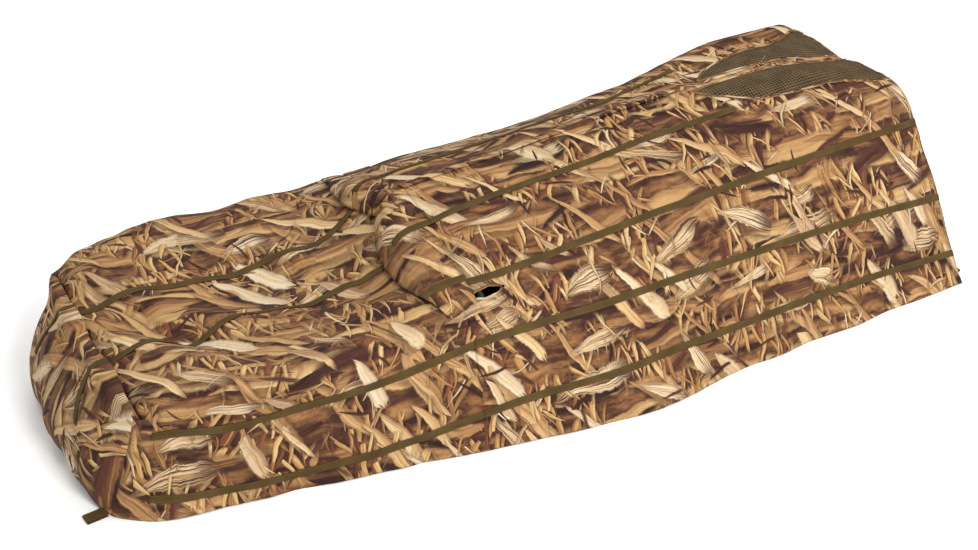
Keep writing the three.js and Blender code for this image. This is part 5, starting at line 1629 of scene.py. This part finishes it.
def edge_loop(points, bins=120):
    """The outline of a pad seen from above, as a smoothed closed path at half its height."""
    middle = (points.min(axis=0) + points.max(axis=0)) / 2
    level = np.abs(points[:, 2] - middle[2]) < 0.008
    band = points[level]
    span = band[:, :2].max(axis=0) - middle[:2]
    turn = np.arctan2((band[:, 1] - middle[1]) / span[1], (band[:, 0] - middle[0]) / span[0])
    slot = ((turn + math.pi) / (2 * math.pi) * bins).astype(int) % bins
    reach = np.linalg.norm(band[:, :2] - middle[:2], axis=1)
    path = []
    for k in range(bins):
        here = np.nonzero(slot == k)[0]
        if len(here):
            path.append(band[here[np.argmax(reach[here])]])
    path = np.array(path)
    smooth = (path + np.roll(path, 1, axis=0) + np.roll(path, -1, axis=0)) / 3
    smooth[:, 2] = middle[2]
    return np.vstack([smooth, smooth[:1]])


def pad_piece(name, start, length, width, base, thickness, channels, cap, node):
    verts, faces = rounded_slab(start + 9, length - 18, width - 18, base + 3, base + thickness - 9, 38)
    pad = new_object(name, verts, faces, materials=[PAD_CLOTH])
    points = inflated(pad, cap)
    lowest, highest = base * MM, (base + thickness + 3) * MM
    points[:, 2] = np.clip(points[:, 2], lowest, highest)
    crown = points[:, 2] > (base + thickness * 0.45) * MM
    for place in channels:
        gap = (points[:, 0] - (start + place) * MM) / (7 * MM)
        points[:, 2] -= crown * 0.007 * np.exp(-gap ** 2)
    piping = edge_loop(points)
    for v, place in zip(pad.data.vertices, inclined(points / MM) * MM):
        v.co = place
    pad.data.materials.clear()
    pad.data.materials.append(PAD_CLOTH)
    smoother = pad.modifiers.new("smooth", "SUBSURF")
    smoother.levels = smoother.render_levels = 1
    apply_modifiers(pad)
    pad.data.polygons.foreach_set("use_smooth", [True] * len(pad.data.polygons))
    pad.data.update()
    finish_piece(pad, "backrest", (node,))
    cord = merged_object(f"{name}_piping", [swept(inclined(piping / MM), 2.6, 10)], [WEBBING])
    finish_piece(cord, "backrest", ())


pad_piece("backrest_pad_cover", 40, 545, 400, PAD_BASE, 42, (150, 290, 420), 14, "backrest_pad")
pad_piece("headrest_pillow_cover", 440, 125, 290, PAD_BASE + 45, 48, (), 14, "headrest_pillow")

# ---------- camera, light and floor ----------
CAMERA_PLACE = (-1.460, -2.493, 1.814)
CAMERA_RIGHT = (0.8695, -0.4939, 0.0)
CAMERA_UP = (0.2519, 0.4434, 0.8602)
CAMERA_BACK = (-0.4249, -0.7479, 0.5100)


def make_camera():
    data = bpy.data.cameras.new("photo_angle")
    data.lens = 51.5
    data.sensor_width = 36
    camera = bpy.data.objects.new("photo_angle", data)
    turn = Matrix((CAMERA_RIGHT, CAMERA_UP, CAMERA_BACK)).transposed()
    camera.matrix_world = Matrix.Translation(CAMERA_PLACE) @ turn.to_4x4()
    bpy.context.collection.objects.link(camera)
    bpy.context.scene.camera = camera


def area_light(name, place, target, size, power):
    data = bpy.data.lights.new(name, "AREA")
    data.shape = "DISK"
    data.size = size
    data.energy = power
    light = bpy.data.objects.new(name, data)
    aim = (Vector(target) - Vector(place)).to_track_quat("-Z", "Y")
    light.matrix_world = Matrix.Translation(place) @ aim.to_matrix().to_4x4()
    bpy.context.collection.objects.link(light)


def make_floor():
    made, g = new_material("pale_floor")
    tone = g.noise(g.position(), 3.0, 2.0)
    color = g.mix(g.step(tone, 0.3, 0.7), rgba((246, 245, 243)), rgba((250, 250, 249)))
    output(g, shader(g, color, 0.9).outputs[0])
    half = 12.0
    corners = [(-half, -half, 0), (half, -half, 0), (half, half, 0), (-half, half, 0)]
    floor = new_object("studio_floor", corners, [(0, 1, 2, 3)], None, [made], smooth=False)
    floor.location.z = -0.0005


make_camera()
make_floor()
area_light("key", (-0.3, -3.5, 2.9), (0, 0, 0.2), 1.4, 140)
area_light("fill", (2.5, -1.8, 3.2), (0.2, 0, 0.2), 2.5, 60)
area_light("back", (-0.5, 3.0, 3.2), (0, 0, 0.2), 2.5, 50)
world = bpy.data.worlds.new("studio")
world.use_nodes = True
background = world.node_tree.nodes["Background"]
background.inputs["Color"].default_value = (1, 1, 1, 1)
background.inputs["Strength"].default_value = 0.75
bpy.context.scene.world = world
bpy.context.scene.view_settings.view_transform = "Standard"
